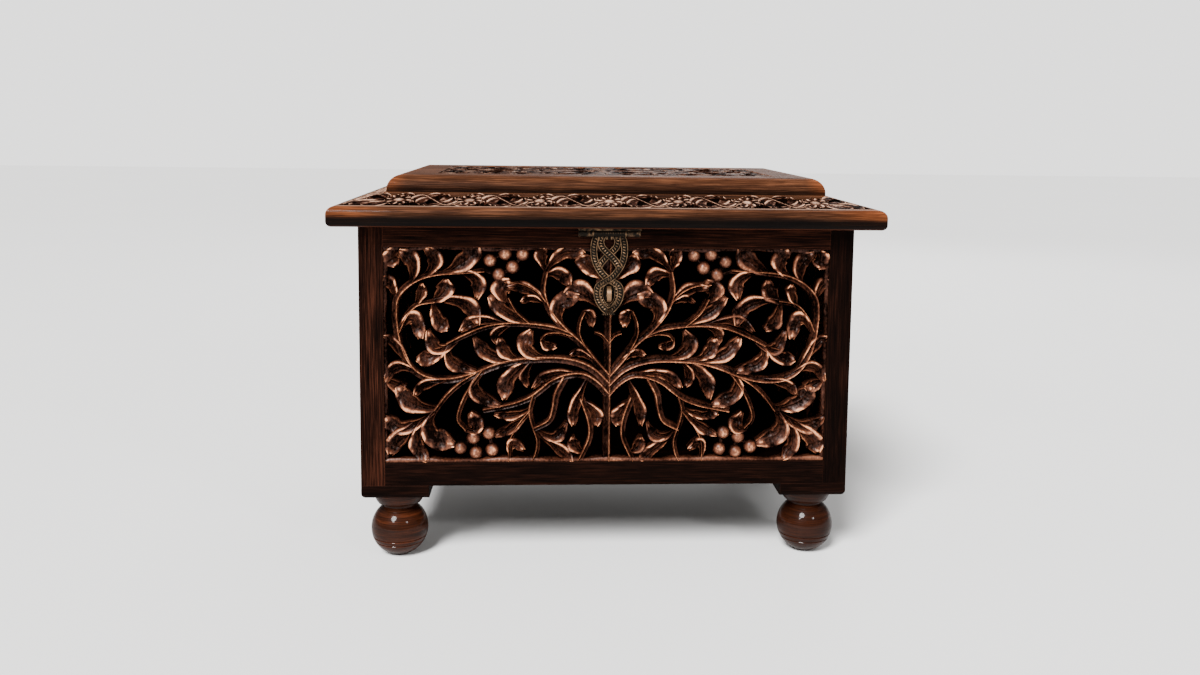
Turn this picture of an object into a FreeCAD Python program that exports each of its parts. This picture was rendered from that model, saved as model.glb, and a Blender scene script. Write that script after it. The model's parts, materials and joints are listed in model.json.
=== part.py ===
"""Carved wooden chest on ball feet, with a hinged lid and a brass hasp.

Frame: millimetres, X to the right, Y to the back, Z up, origin on the floor under the middle.
The box is a post and rail frame round pierced carved panels.  The lid is a mitred frame of
mouldings with a raised board, hinged at the back, and the hasp hangs from the front of the lid.
"""
import FreeCAD, Part
import math
import os
import re

import Sketcher
from FreeCAD import Placement, Rotation, Vector

SIZES = (
    ("lid_width", 356),
    ("lid_depth", 254),
    ("lid_overhang", 17),
    ("lid_edge_thickness", 13),
    ("lid_edge_top_radius", 5),
    ("lid_edge_bottom_radius", 3.5),
    ("border_width", 33),
    ("border_rise", 7.5),
    ("border_outer_lip", 1.5),
    ("border_inner_lip", 1.5),
    ("ledge_width", 12),
    ("carving_depth", 2.2),
    ("relief_height", 1.3),
    ("rosette_diameter", 14),
    ("rosette_inset", 43),
    ("vine_width", 2.4),
    ("board_thickness", 11),
    ("board_edge_radius", 9.5),
    ("field_margin", 20),
    ("carcass_height", 172),
    ("post_side", 15.5),
    ("top_rail_height", 14),
    ("bottom_rail_height", 15.5),
    ("rail_thickness", 12),
    ("tenon_length", 6),
    ("tenon_thickness", 4),
    ("tenon_shoulder", 4),
    ("fit_gap", 0.1),
    ("panel_thickness", 8),
    ("panel_setback", 1.2),
    ("tongue_depth", 3),
    ("tongue_thickness", 4),
    ("rim_width", 2.2),
    ("stem_width", 4),
    ("berry_diameter", 8.4),
    ("boss_width", 17),
    ("floor_thickness", 8),
    ("pad_side", 44),
    ("pad_height", 9),
    ("pad_edge_radius", 4),
    ("foot_height", 44),
    ("foot_inset", 22),
    ("foot_flat_diameter", 12),
    ("ball_diameter", 38),
    ("neck_diameter", 22),
    ("collar_height", 8),
    ("collar_top_diameter", 35),
    ("collar_bottom_diameter", 29),
    ("collar_bulge_radius", 16),
    ("ring_upper_height", 12.7),
    ("ring_lower_height", 9.4),
    ("ring_width", 0.9),
    ("ring_depth", 0.5),
    ("dowel_diameter", 10),
    ("dowel_length", 7),
    ("hinge_spacing", 200),
    ("hinge_length", 38),
    ("hinge_barrel_diameter", 4.8),
    ("hinge_pin_diameter", 2.3),
    ("hinge_leaf_height", 10.5),
    ("hinge_leaf_width", 8.8),
    ("leaf_thickness", 1.4),
    ("knuckle_gap", 0.3),
    ("pin_gap", 0.05),
    ("screw_length", 8),
    ("screw_diameter", 1.8),
    ("screw_head_diameter", 3.6),
    ("screw_head_height", 1.1),
    ("hasp_barrel_length", 40),
    ("hasp_barrel_diameter", 5.8),
    ("hasp_knuckle_length", 22),
    ("hasp_pin_diameter", 2.4),
    ("hasp_leaf_width", 9.5),
    ("hasp_drop", 54),
    ("hasp_width", 25),
    ("hasp_thickness", 1.6),
    ("hasp_stand_off", 0.6),
    ("slot_width", 7.6),
    ("slot_height", 13),
    ("slot_drop", 40),
    ("eye_thickness", 3),
    ("eye_height", 10),
    ("eye_bore_diameter", 4.8),
    ("eye_bore_reach", 3),
    ("flange_diameter", 11),
    ("flange_thickness", 0.9),
    ("shank_diameter", 4),
    ("shank_length", 7),
    ("cut_overrun", 2),
)

# Sizes worked out from the driving ones, in the order in which they need each other.
DERIVED = (
    ("body_width", "lid_width - 2 * lid_overhang"),
    ("body_depth", "lid_depth - 2 * lid_overhang"),
    ("half_width", "body_width / 2"),
    ("half_depth", "body_depth / 2"),
    ("rail_bottom", "foot_height + pad_height"),
    ("seat_level", "rail_bottom + carcass_height"),
    ("front_opening", "body_width - 2 * post_side"),
    ("side_opening", "body_depth - 2 * post_side"),
    ("opening_bottom", "rail_bottom + bottom_rail_height"),
    ("opening_top", "seat_level - top_rail_height"),
    ("opening_height", "opening_top - opening_bottom"),
    ("tongue_near", "panel_setback + (panel_thickness - tongue_thickness) / 2"),
    ("tenon_near", "tongue_near + (tongue_thickness - tenon_thickness) / 2"),
    ("moulding_width", "border_width + ledge_width"),
    ("moulding_height", "lid_edge_thickness + border_rise"),
    ("border_slope", "border_rise / (border_width - lid_edge_top_radius)"),
    ("channel_start", "lid_edge_top_radius + border_outer_lip"),
    ("channel_end", "border_width - border_inner_lip"),
    ("channel_start_rise", "lid_edge_thickness + border_slope * border_outer_lip"),
    ("channel_end_rise", "moulding_height - border_slope * border_inner_lip"),
    ("board_width", "lid_width - 2 * border_width"),
    ("board_depth", "lid_depth - 2 * border_width"),
    ("field_inset", "board_edge_radius + field_margin"),
    ("ball_radius", "ball_diameter / 2"),
    ("ball_centre", "sqrt(ball_radius ^ 2 - foot_flat_diameter ^ 2 / 4)"),
    ("neck_level", "ball_centre + sqrt(ball_radius ^ 2 - neck_diameter ^ 2 / 4)"),
    ("hinge_radius", "hinge_barrel_diameter / 2"),
    ("hinge_axis_y", "half_depth + hinge_radius + knuckle_gap"),
    ("hinge_axis_z", "seat_level - hinge_radius - knuckle_gap"),
    ("hinge_knuckle_length", "(hinge_length - 2 * knuckle_gap) / 3"),
    ("hasp_radius", "hasp_barrel_diameter / 2"),
    ("hasp_axis_y", "-half_depth - hasp_radius - knuckle_gap"),
    ("hasp_axis_z", "seat_level - hasp_radius - 2 * knuckle_gap"),
    ("hasp_end_knuckle", "(hasp_barrel_length - hasp_knuckle_length) / 2 - knuckle_gap"),
    ("hasp_back_y", "-half_depth - hasp_stand_off"),
    ("hasp_front_y", "hasp_back_y - hasp_thickness"),
    ("slot_level", "hasp_axis_z - slot_drop"),
    ("panel_front_y", "-half_depth + panel_setback"),
    ("eye_bore_y", "hasp_front_y - eye_bore_reach"),
    ("hinge_screw_level", "hinge_axis_z - (hinge_leaf_height + hinge_radius + knuckle_gap) / 2"),
    ("lid_screw_y", "hinge_axis_y + (hinge_leaf_width + hinge_radius + knuckle_gap) / 2"),
    ("lid_screw_inset", "lid_depth / 2 - lid_screw_y"),
    ("hasp_screw_y", "hasp_axis_y - (hasp_leaf_width + hasp_radius + knuckle_gap) / 2"),
    ("hasp_screw_inset", "lid_depth / 2 + hasp_screw_y"),
)

# The carved tree, for the half with x > 0, as shares of the panel's half width and of its height.
# A stem is its thickness share (of stem_width) at the root and at the end, and its points.
STEM_SHARES = (
    (1.25, 1.15, ((0, 0), (0, 1))),
    (1.1, 0.8, ((0, 0.405), (0.06, 0.475), (0.12, 0.55), (0.2, 0.625), (0.265, 0.71), (0.292, 0.8),
                (0.28, 0.89))),
    (0.9, 0.7, ((0.17, 0.598), (0.24, 0.625), (0.33, 0.64), (0.43, 0.645), (0.54, 0.632), (0.64, 0.592),
                (0.72, 0.55))),
    (1.2, 1.0, ((0, 0.365), (0.06, 0.425), (0.13, 0.462), (0.22, 0.48), (0.32, 0.48), (0.42, 0.471),
                (0.51, 0.447), (0.6, 0.41), (0.7, 0.385), (0.79, 0.387), (0.86, 0.42), (0.91, 0.485),
                (0.94, 0.58), (0.952, 0.68))),
    (1.0, 0.6, ((0.952, 0.67), (0.945, 0.76), (0.9, 0.82), (0.83, 0.862), (0.75, 0.88), (0.66, 0.886),
                (0.555, 0.893))),
    (0.7, 0.6, ((0.937, 0.61), (0.905, 0.68), (0.855, 0.735), (0.775, 0.752))),
    (1.1, 0.8, ((0, 0.315), (0.05, 0.37), (0.11, 0.405), (0.18, 0.403), (0.25, 0.375), (0.3, 0.335),
                (0.35, 0.298), (0.42, 0.27), (0.5, 0.252), (0.56, 0.24))),
    (0.8, 0.6, ((0.33, 0.31), (0.347, 0.24), (0.335, 0.175), (0.312, 0.1), (0.318, 0.04), (0.335, 0))),
    (0.7, 0.6, ((0.19, 0.395), (0.228, 0.32), (0.24, 0.25), (0.262, 0.19), (0.33, 0.152))),
    (0.8, 0.7, ((0.59, 0.413), (0.66, 0.368), (0.72, 0.312), (0.775, 0.238))),
    (0.8, 0.6, ((0.56, 0.428), (0.615, 0.35), (0.655, 0.27), (0.67, 0.2), (0.635, 0.152))),
    (0.6, 0.5, ((0.345, 0.24), (0.4, 0.17), (0.438, 0.09), (0.44, 0))),
    (0.6, 0.6, ((0.115, 0.3), (0.08, 0.2), (0.074, 0.12), (0.1, 0.05), (0.125, 0))),
    (0.5, 0.5, ((0.16, 0.585), (0.22, 0.602), (0.275, 0.597), (0.298, 0.572))),
    (0.6, 0.6, ((0.35, 0.64), (0.415, 0.7), (0.452, 0.765))),
    (0.6, 0.5, ((0.282, 0.745), (0.325, 0.795), (0.39, 0.828), (0.465, 0.835))),
    (0.6, 0.5, ((0.1, 0.53), (0.13, 0.595), (0.128, 0.655), (0.108, 0.705))),
    (0.6, 0.5, ((0, 0.56), (0.03, 0.595), (0.06, 0.607))),
    (0.45, 0.4, ((0.56, 0.893), (0.492, 0.874), (0.43, 0.908), (0.385, 0.968), (0.38, 1))),
    (0.45, 0.4, ((0.492, 0.874), (0.53, 0.938), (0.463, 0.97), (0.46, 1))),
    (0.45, 0.4, ((0.64, 0.155), (0.605, 0.11), (0.593, 0.038), (0.593, 0))),
    (0.45, 0.4, ((0.495, 0.11), (0.535, 0.132), (0.605, 0.11), (0.663, 0.062), (0.72, 0.075))),
    (0.45, 0.4, ((0.535, 0.132), (0.52, 0.052), (0.52, 0))),
)

# A leaf is its root, the middle of its rib, its tip and its width as a share of the panel's height.
LEAF_SHARES = (
    ((0.28, 0.89), (0.3, 0.95), (0.305, 1), 0.05),
    ((0.282, 0.885), (0.21, 0.965), (0.115, 0.992), 0.055),
    ((0.285, 0.87), (0.225, 0.878), (0.168, 0.848), 0.055),
    ((0.285, 0.745), (0.35, 0.8), (0.45, 0.835), 0.045),
    ((0.45, 0.75), (0.478, 0.795), (0.465, 0.845), 0.07),
    ((0.285, 0.735), (0.335, 0.762), (0.392, 0.76), 0.03),
    ((0.34, 0.642), (0.445, 0.692), (0.548, 0.76), 0.052),
    ((0.46, 0.645), (0.57, 0.66), (0.668, 0.628), 0.045),
    ((0.42, 0.645), (0.49, 0.612), (0.512, 0.57), 0.038),
    ((0.39, 0.474), (0.455, 0.512), (0.5, 0.568), 0.05),
    ((0.41, 0.474), (0.52, 0.502), (0.612, 0.568), 0.055),
    ((0.25, 0.482), (0.352, 0.528), (0.36, 0.606), 0.06),
    ((0.298, 0.585), (0.28, 0.552), (0.238, 0.532), 0.035),
    ((0.05, 0.46), (0.11, 0.503), (0.168, 0.512), 0.03),
    ((0.185, 0.612), (0.218, 0.715), (0.15, 0.785), 0.065),
    ((0.11, 0.7), (0.085, 0.69), (0.06, 0.645), 0.045),
    ((0, 0.7), (0.1, 0.785), (0.182, 0.812), 0.075),
    ((0, 0.84), (0.08, 0.905), (0.135, 0.95), 0.065),
    ((0.86, 0.728), (0.838, 0.775), (0.815, 0.83), 0.04),
    ((0.785, 0.745), (0.742, 0.785), (0.702, 0.838), 0.065),
    ((0.79, 0.752), (0.655, 0.738), (0.572, 0.66), 0.06),
    ((0.785, 0.752), (0.765, 0.675), (0.735, 0.612), 0.055),
    ((0.94, 0.6), (0.878, 0.662), (0.835, 0.596), 0.055),
    ((0.67, 0.57), (0.755, 0.54), (0.81, 0.602), 0.05),
    ((0.7, 0.56), (0.775, 0.502), (0.848, 0.462), 0.055),
    ((0.7, 0.562), (0.695, 0.478), (0.6, 0.412), 0.05),
    ((0.885, 0.832), (0.872, 0.915), (0.91, 0.99), 0.06),
    ((0.94, 1), (0.962, 0.965), (0.97, 0.92), 0.065),
    ((0.835, 0.855), (0.782, 0.925), (0.795, 1), 0.06),
    ((0.735, 0.88), (0.65, 0.93), (0.565, 1), 0.075),
    ((0.68, 0.885), (0.6, 0.852), (0.572, 0.775), 0.055),
    ((0.945, 0.755), (0.965, 0.82), (1, 0.86), 0.045),
    ((0.87, 0.425), (0.935, 0.53), (1, 0.602), 0.04),
    ((0.83, 0.398), (0.93, 0.438), (1, 0.385), 0.045),
    ((1, 0.395), (0.955, 0.362), (0.912, 0.335), 0.05),
    ((0.69, 0.388), (0.8, 0.368), (0.872, 0.328), 0.04),
    ((0.765, 0.25), (0.865, 0.272), (0.955, 0.332), 0.07),
    ((0.77, 0.245), (0.79, 0.145), (0.712, 0.07), 0.075),
    ((0.77, 0.245), (0.9, 0.172), (1, 0.195), 0.055),
    ((0.86, 0.19), (0.935, 0.118), (1, 0.055), 0.07),
    ((0.825, 0.205), (0.855, 0.1), (0.83, 0), 0.055),
    ((0.56, 0.43), (0.582, 0.335), (0.495, 0.255), 0.055),
    ((0.34, 0.475), (0.43, 0.405), (0.485, 0.305), 0.06),
    ((0.33, 0.48), (0.368, 0.418), (0.372, 0.358), 0.04),
    ((0.34, 0.255), (0.42, 0.222), (0.51, 0.212), 0.035),
    ((0.345, 0.235), (0.42, 0.168), (0.498, 0.108), 0.04),
    ((0.405, 0), (0.398, 0.035), (0.405, 0.072), 0.055),
    ((0.65, 0.152), (0.6, 0.162), (0.602, 0.222), 0.055),
    ((0.315, 0.15), (0.24, 0.122), (0.18, 0.168), 0.045),
    ((0.31, 0.125), (0.22, 0.062), (0.145, 0), 0.045),
    ((0.105, 0.04), (0.14, 0.065), (0.17, 0.102), 0.05),
    ((0.11, 0.285), (0.06, 0.235), (0.032, 0.178), 0.05),
    ((0.085, 0.4), (0.138, 0.28), (0.172, 0.172), 0.045),
    ((0.11, 0.408), (0.24, 0.408), (0.345, 0.36), 0.04),
)
BERRY_SHARES = (
    (0.385, 0.968), (0.463, 0.97), (0.53, 0.938), (0.43, 0.908), (0.492, 0.874),
    (0.535, 0.132), (0.605, 0.11), (0.52, 0.052), (0.593, 0.038), (0.663, 0.062),
)

# The staple's boss behind the hasp: half width share and height share from foot to head.
BOSS_SHARES = ((0, 0.69), (0.5, 0.8), (0.36, 0.93), (0.3, 1))

# One repeat of the lid's border: shares of the way to the next rosette and of the channel's half width.
VINE_SHARES = (
    (0.14, 0.3), (0.24, 0.78), (0.36, 0.72), (0.46, 0.22), (0.54, -0.22), (0.64, -0.72), (0.76, -0.78),
    (0.86, -0.3),
)
# Its leaves: root, middle of the rib, tip and width, where the width is a share of the half width.
BORDER_LEAF_SHARES = (
    ((0.36, 0.7), (0.26, 0.3), (0.2, -0.3), 0.34), ((0.44, 0.3), (0.34, -0.1), (0.3, -0.8), 0.36),
    ((0.38, 0.62), (0.5, 0.84), (0.62, 0.9), 0.28), ((0.64, -0.7), (0.74, -0.3), (0.8, 0.3), 0.34),
    ((0.56, -0.3), (0.66, 0.1), (0.7, 0.8), 0.36), ((0.62, -0.62), (0.5, -0.84), (0.38, -0.9), 0.28),
    ((0.2, 0.6), (0.12, 0.86), (0.02, 0.96), 0.24), ((0.8, -0.6), (0.88, -0.86), (0.98, -0.96), 0.24),
)
# The spray from a side's last rosette to the lid's corner, with both shares of the channel's half width.
CORNER_LEAF_SHARES = (
    ((0.5, -0.2), (1.1, -0.75), (1.9, -0.9), 0.36), ((0.5, 0.2), (0.85, 0.7), (1.2, 0.9), 0.34),
    ((0.5, 0), (1.2, -0.1), (1.75, 0.1), 0.38), ((0.9, -0.25), (1.8, -0.4), (2.6, -0.8), 0.36),
)
# Rosettes on each long and each short side of the lid, and how much of the channel the carving fills.
FRONT_ROSETTES = 7
SIDE_ROSETTES = 5
CARVED_SHARE = 0.93

# A quarter of the raised board's carved field, as shares of its half width and half depth.
FIELD_STEM_SHARES = (
    (1.2, 0.8, ((0.08, 0), (0.2, 0.16), (0.34, 0.44), (0.5, 0.6), (0.66, 0.52), (0.74, 0.28), (0.66, 0.1),
                (0.56, 0.16))),
    (1.0, 0.7, ((0.4, 0.53), (0.52, 0.8), (0.7, 0.88), (0.86, 0.76), (0.92, 0.5), (0.88, 0.26))),
    (1.0, 0.7, ((0.16, 0.1), (0.1, 0.38), (0.14, 0.66), (0.26, 0.84), (0.38, 0.82))),
    (0.8, 0.6, ((0.74, 0.28), (0.84, 0.1), (0.96, 0.02))),
)
FIELD_LEAF_SHARES = (
    ((0.22, 0.2), (0.32, 0.2), (0.4, 0.32), 0.11), ((0.3, 0.38), (0.24, 0.5), (0.26, 0.66), 0.1),
    ((0.42, 0.54), (0.46, 0.4), (0.42, 0.24), 0.11), ((0.48, 0.6), (0.42, 0.72), (0.46, 0.92), 0.1),
    ((0.56, 0.6), (0.62, 0.7), (0.7, 0.74), 0.1), ((0.66, 0.52), (0.6, 0.4), (0.62, 0.24), 0.08),
    ((0.7, 0.46), (0.8, 0.52), (0.84, 0.64), 0.1), ((0.56, 0.12), (0.48, 0.06), (0.42, 0.14), 0.1),
    ((0.54, 0.82), (0.6, 0.92), (0.72, 0.97), 0.09), ((0.74, 0.88), (0.84, 0.94), (0.96, 0.95), 0.1),
    ((0.92, 0.5), (0.97, 0.4), (0.97, 0.26), 0.08), ((0.11, 0.34), (0.04, 0.46), (0.04, 0.62), 0.09),
    ((0.13, 0.6), (0.06, 0.74), (0.08, 0.94), 0.1), ((0.13, 0.42), (0.2, 0.5), (0.2, 0.64), 0.08),
)
# The ways in which the quarter is mirrored.
QUARTERS = ((1, 1), (-1, 1), (-1, -1), (1, -1))

# The hasp's right edge as shares of its half width and of its drop below the pin.
HASP_EDGE_SHARES = (
    (0.8, 0), (0.84, 0.12), (0.99, 0.29), (0.85, 0.46), (0.56, 0.6), (0.58, 0.68), (0.8, 0.77),
    (0.66, 0.9), (0.36, 0.985), (0.26, 1),
)
# Its cut-outs: centre, half width and half height, in the same shares; the slot is apart.
HASP_HOLE_SHARES = ((0, 0.23, 0.25, 0.1), (0.52, 0.34, 0.19, 0.11), (-0.52, 0.34, 0.19, 0.11), (0, 0.5, 0.23, 0.13))

# The tree's leaves are this much broader than their table says, to fill the panel as hand carving does.
LEAF_FULLNESS = 1.2

# An arc whose rise is under this share of its chord is drawn as a line.
STRAIGHT_SHARE = 0.01

WALLS = ("front", "right", "back", "left")
CORNERS = ("front_left", "front_right", "back_right", "back_left")
QUARTER_TURN = 90
X_AXIS = Vector(1, 0, 0)
Z_AXIS = Vector(0, 0, 1)
AXIS_TURNS = {
    "z": Rotation(),
    "x": Rotation(Vector(0, 1, 0), QUARTER_TURN),
    "y": Rotation(Vector(1, 0, 0), -QUARTER_TURN),
    "-y": Rotation(Vector(1, 0, 0), QUARTER_TURN),
    "-z": Rotation(Vector(1, 0, 0), 2 * QUARTER_TURN),
}

doc = FreeCAD.newDocument("carved_chest")
sheet = doc.addObject("Spreadsheet::Sheet", "sizes")
derived = doc.addObject("App::FeaturePython", "derived")
abacus = doc.addObject("App::FeaturePython", "abacus")
pieces = []


def fill_sheet():
    """One row for each driving size: its name, and its value under an alias of that name."""
    for row, (alias, value) in enumerate(SIZES, start=1):
        sheet.set(f"A{row}", alias)
        sheet.set(f"B{row}", str(value))
        sheet.setAlias(f"B{row}", alias)
    doc.recompute()
    for name, text in DERIVED:
        derived.addProperty("App::PropertyFloat", name)
        derived.setExpression(name, formula(text))
        doc.recompute()
    abacus.addProperty("App::PropertyFloat", "result")


def formula(text):
    """The expression with each size written as a cell of the sheet or a derived value."""
    cells = {alias for alias, _ in SIZES}
    worked_out = {name for name, _ in DERIVED}

    def full_name(match):
        word = match.group()
        if word in cells:
            return "sizes." + word
        if word in worked_out:
            return "derived." + word
        return word

    return re.sub(r"[a-z_]+", full_name, str(text))


def size(name):
    """The value of a driving or derived size, for the shapes that are made by Part's functions."""
    if name in derived.PropertiesList:
        return getattr(derived, name)
    return float(sheet.get(name))


def number(text):
    """The value of an expression, worked out by an object that nothing depends on."""
    abacus.setExpression("result", formula(text))
    abacus.recompute()
    return abacus.result


def bind(thing, **properties):
    for name, text in properties.items():
        thing.setExpression(name, formula(text))


def place(thing, x="0", y="0", z="0", turn=None):
    """Puts an object at expressions of the sizes, with a fixed turn."""
    thing.Placement = Placement(Vector(), turn or Rotation())
    for letter, text in (("x", x), ("y", y), ("z", z)):
        thing.setExpression(f"Placement.Base.{letter}", formula(text))
    return thing


def box(name, length, width, height, x, y, z):
    made = doc.addObject("Part::Box", name)
    bind(made, Length=length, Width=width, Height=height)
    return place(made, x, y, z)


def cylinder(name, radius, height, x, y, z, axis="z"):
    made = doc.addObject("Part::Cylinder", name)
    bind(made, Radius=radius, Height=height)
    return place(made, x, y, z, AXIS_TURNS[axis])


def cone(name, radius, end_radius, height, x, y, z, axis="z"):
    made = doc.addObject("Part::Cone", name)
    bind(made, Radius1=radius, Radius2=end_radius, Height=height)
    return place(made, x, y, z, AXIS_TURNS[axis])


def fuse(name, members):
    made = doc.addObject("Part::MultiFuse", name)
    made.Shapes = members
    return made


def cut(name, base, tools):
    made = doc.addObject("Part::Cut", name)
    made.Base = base
    made.Tool = tools[0] if len(tools) == 1 else fuse(name + "_cuts", tools)
    return made


def piece(thing, label):
    """Marks an object as a sub-part, under the label that names its file."""
    thing.Label = label
    pieces.append(thing)
    return thing


def wall_opening(wall):
    return "front_opening" if wall in ("front", "back") else "side_opening"


def wall_offset(wall, level="0", across="half_width", along="half_depth"):
    """The place of a wall's own frame: X along the wall, Y inward from its outer face."""
    x = {"front": "0", "right": across, "back": "0", "left": "-" + across}[wall]
    y = {"front": "-" + along, "right": "0", "back": along, "left": "0"}[wall]
    return {"x": x, "y": y, "z": level, "turn": Rotation(Z_AXIS, QUARTER_TURN * WALLS.index(wall))}


def corner_offset(corner, level="0"):
    """The place of a corner's own frame: origin at the outer corner, X and Y along the two walls."""
    x = "half_width" if "right" in corner else "-half_width"
    y = "half_depth" if "back" in corner else "-half_depth"
    return {"x": x, "y": y, "z": level, "turn": Rotation(Z_AXIS, QUARTER_TURN * CORNERS.index(corner))}


def origin_plane(body, role):
    return next(feature for feature in body.Origin.OriginFeatures if feature.Role == role)


def arc_middle(start, end, radius, side):
    """The middle of an arc of that radius, on the right of the way from start to end for side 1."""
    chord = end - start
    right = Vector(chord.y, -chord.x, 0).normalize()
    rise = radius - math.sqrt(radius ** 2 - chord.Length ** 2 / 4)
    return (start + end) / 2 + right * rise * side


def profile(body, name, role, loops):
    """A sketch of closed loops whose corners, and arc radii, are bound to expressions.

    Each corner is (x, y), or (x, y, radius, side) where an arc leaves it instead of a line.
    """
    sketch = body.newObject("Sketcher::SketchObject", name)
    sketch.AttachmentSupport = [(origin_plane(body, role), "")]
    sketch.MapMode = "FlatFace"
    for corners in loops:
        points = [Vector(number(corner[0]), number(corner[1]), 0) for corner in corners]
        ends = []
        for index, corner in enumerate(corners):
            start, end = points[index], points[(index + 1) % len(points)]
            if len(corner) == 2:
                edge = sketch.addGeometry(Part.LineSegment(start, end))
                ends.append((edge, 1, 2))
                continue
            middle = arc_middle(start, end, number(corner[2]), corner[3])
            edge = sketch.addGeometry(Part.Arc(start, middle, end))
            straight = sketch.Geometry[edge].StartPoint.distanceToPoint(start) < middle.distanceToPoint(start)
            ends.append((edge, 1, 2) if straight else (edge, 2, 1))
            bound = sketch.addConstraint(Sketcher.Constraint("Radius", edge, number(corner[2])))
            sketch.setExpression(f"Constraints[{bound}]", formula(corner[2]))
        for index, corner in enumerate(corners):
            edge, first, _ = ends[index]
            before, _, last = ends[index - 1]
            sketch.addConstraint(Sketcher.Constraint("Coincident", before, last, edge, first))
            for kind, text, value in zip(("DistanceX", "DistanceY"), corner[:2], points[index]):
                bound = sketch.addConstraint(Sketcher.Constraint(kind, -1, 1, edge, first, value))
                sketch.setExpression(f"Constraints[{bound}]", formula(text))
    return sketch


def pad(body, name, sketch, length, symmetric=False):
    made = body.newObject("PartDesign::Pad", name)
    made.Profile = sketch
    made.SideType = "Symmetric" if symmetric else "One side"
    bind(made, Length=length)
    doc.recompute()
    return made


def pocket(body, name, sketch, length=None, reversed_way=False):
    """A cut of that depth, or right through both ways, which has to take something away."""
    before = body.Shape.Volume
    made = body.newObject("PartDesign::Pocket", name)
    made.Profile = sketch
    if length is None:
        made.Type = "ThroughAll"
        made.SideType = "Symmetric"
    else:
        made.Reversed = reversed_way
        bind(made, Length=length)
    doc.recompute()
    if not body.Shape.Volume < before:
        raise RuntimeError(f"{name} cut nothing")
    return made


def fillet(body, name, base, radius, chosen):
    """Rounds the base feature's edges for which chosen(edge) is true."""
    names = [f"Edge{i}" for i, edge in enumerate(base.Shape.Edges, start=1) if chosen(edge)]
    made = body.newObject("PartDesign::Fillet", name)
    made.Base = (base, names)
    bind(made, Radius=radius)
    doc.recompute()
    return made


def rectangle(x0, y0, x1, y1):
    return ((x0, y0), (x1, y0), (x1, y1), (x0, y1))


def make_posts():
    """Corner posts with a mortise for each of four tenons and a groove for each of two panels."""
    for corner in CORNERS:
        name = "post_" + corner
        stock = box(name + "_stock", "post_side", "post_side", "carcass_height", "0", "0", "rail_bottom")
        depth = "tenon_length + fit_gap"
        start = "post_side - tenon_length - fit_gap"
        broad = "tenon_thickness + 2 * fit_gap"
        near = "tenon_near - fit_gap"
        tools = []
        for rail, level, height in (
            ("top", "opening_top + tenon_shoulder - fit_gap", "top_rail_height"),
            ("bottom", "rail_bottom + tenon_shoulder - fit_gap", "bottom_rail_height"),
        ):
            tall = height + " - 2 * tenon_shoulder + 2 * fit_gap"
            tools.append(box(f"{name}_{rail}_mortise_x", depth, broad, tall, start, near, level))
            tools.append(box(f"{name}_{rail}_mortise_y", broad, depth, tall, near, start, level))
        groove = "tongue_depth + fit_gap"
        inner = "post_side - tongue_depth - fit_gap"
        wide = "tongue_thickness + 2 * fit_gap"
        side = "tongue_near - fit_gap"
        low = "opening_bottom - tongue_depth - fit_gap"
        run = "opening_height + 2 * (tongue_depth + fit_gap)"
        tools.append(box(name + "_groove_x", groove, wide, run, inner, side, low))
        tools.append(box(name + "_groove_y", wide, groove, run, side, inner, low))
        post = piece(cut(name, stock, tools), name)
        place(post, **corner_offset(corner))


def make_rails():
    """Top and bottom rails of each wall, with end tenons, panel groove and any screw holes."""
    for wall in WALLS:
        opening = wall_opening(wall)
        for rail, level, height, groove_level in (
            ("top", "opening_top", "top_rail_height", "opening_top"),
            ("bottom", "rail_bottom", "bottom_rail_height", "opening_bottom - tongue_depth - fit_gap"),
        ):
            name = f"rail_{rail}_{wall}"
            stock = box(
                name + "_stock", opening, "rail_thickness", height, f"-{opening} / 2", "0", level
            )
            tenons = box(
                name + "_tenons", opening + " + 2 * tenon_length", "tenon_thickness",
                height + " - 2 * tenon_shoulder", f"-{opening} / 2 - tenon_length", "tenon_near",
                level + " + tenon_shoulder",
            )
            groove = box(
                name + "_groove", opening, "tongue_thickness + 2 * fit_gap", "tongue_depth + fit_gap",
                f"-{opening} / 2", "tongue_near - fit_gap", groove_level,
            )
            tools = [groove]
            if name == "rail_top_back":
                for index, x in enumerate(hinge_screw_places()):
                    tools.append(cylinder(
                        f"{name}_pilot_{index}", "screw_diameter / 2 + fit_gap", "screw_length", x, "0",
                        "hinge_screw_level", "y",
                    ))
            made = piece(cut(name, fuse(name + "_blank", [stock, tenons]), tools), name)
            place(made, **wall_offset(wall))


def hinge_screw_places():
    """Three screws in each hinge leaf, as places along the back."""
    return [
        f"{side} * hinge_spacing / 2 + {step} * hinge_length / 3"
        for side in (-1, 1) for step in (-1, 0, 1)
    ]


def arc_edge(start, middle, end):
    """An arc through three points, or a line where they are in line."""
    offset = (middle - start).cross(end - start).Length / (end - start).Length
    if offset < (end - start).Length * STRAIGHT_SHARE:
        return Part.LineSegment(start, end).toShape()
    return Part.Arc(start, middle, end).toShape()


def leaf_face(root, rib, tip, width):
    """A pointed leaf between two arcs, which part by the width at the middle of its rib."""
    chord = tip - root
    across = Vector(-chord.z, 0, chord.x).normalize() * (width / 2)
    edges = [arc_edge(root, rib + across, tip), arc_edge(tip, rib - across, root)]
    return Part.Face(Part.Wire(edges))


def stem_face(points, start_width, end_width):
    """A tapering band along a curve through the points."""
    left, right = [], []
    for index, point in enumerate(points):
        ahead = points[min(index + 1, len(points) - 1)] - points[max(index - 1, 0)]
        across = Vector(-ahead.z, 0, ahead.x).normalize()
        width = start_width + (end_width - start_width) * index / (len(points) - 1)
        left.append(point + across * (width / 2))
        right.append(point - across * (width / 2))
    return Part.Face(Part.Wire([
        curve_edge(left), Part.LineSegment(left[-1], right[-1]).toShape(),
        curve_edge(right[::-1]), Part.LineSegment(right[0], left[0]).toShape(),
    ]))


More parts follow.
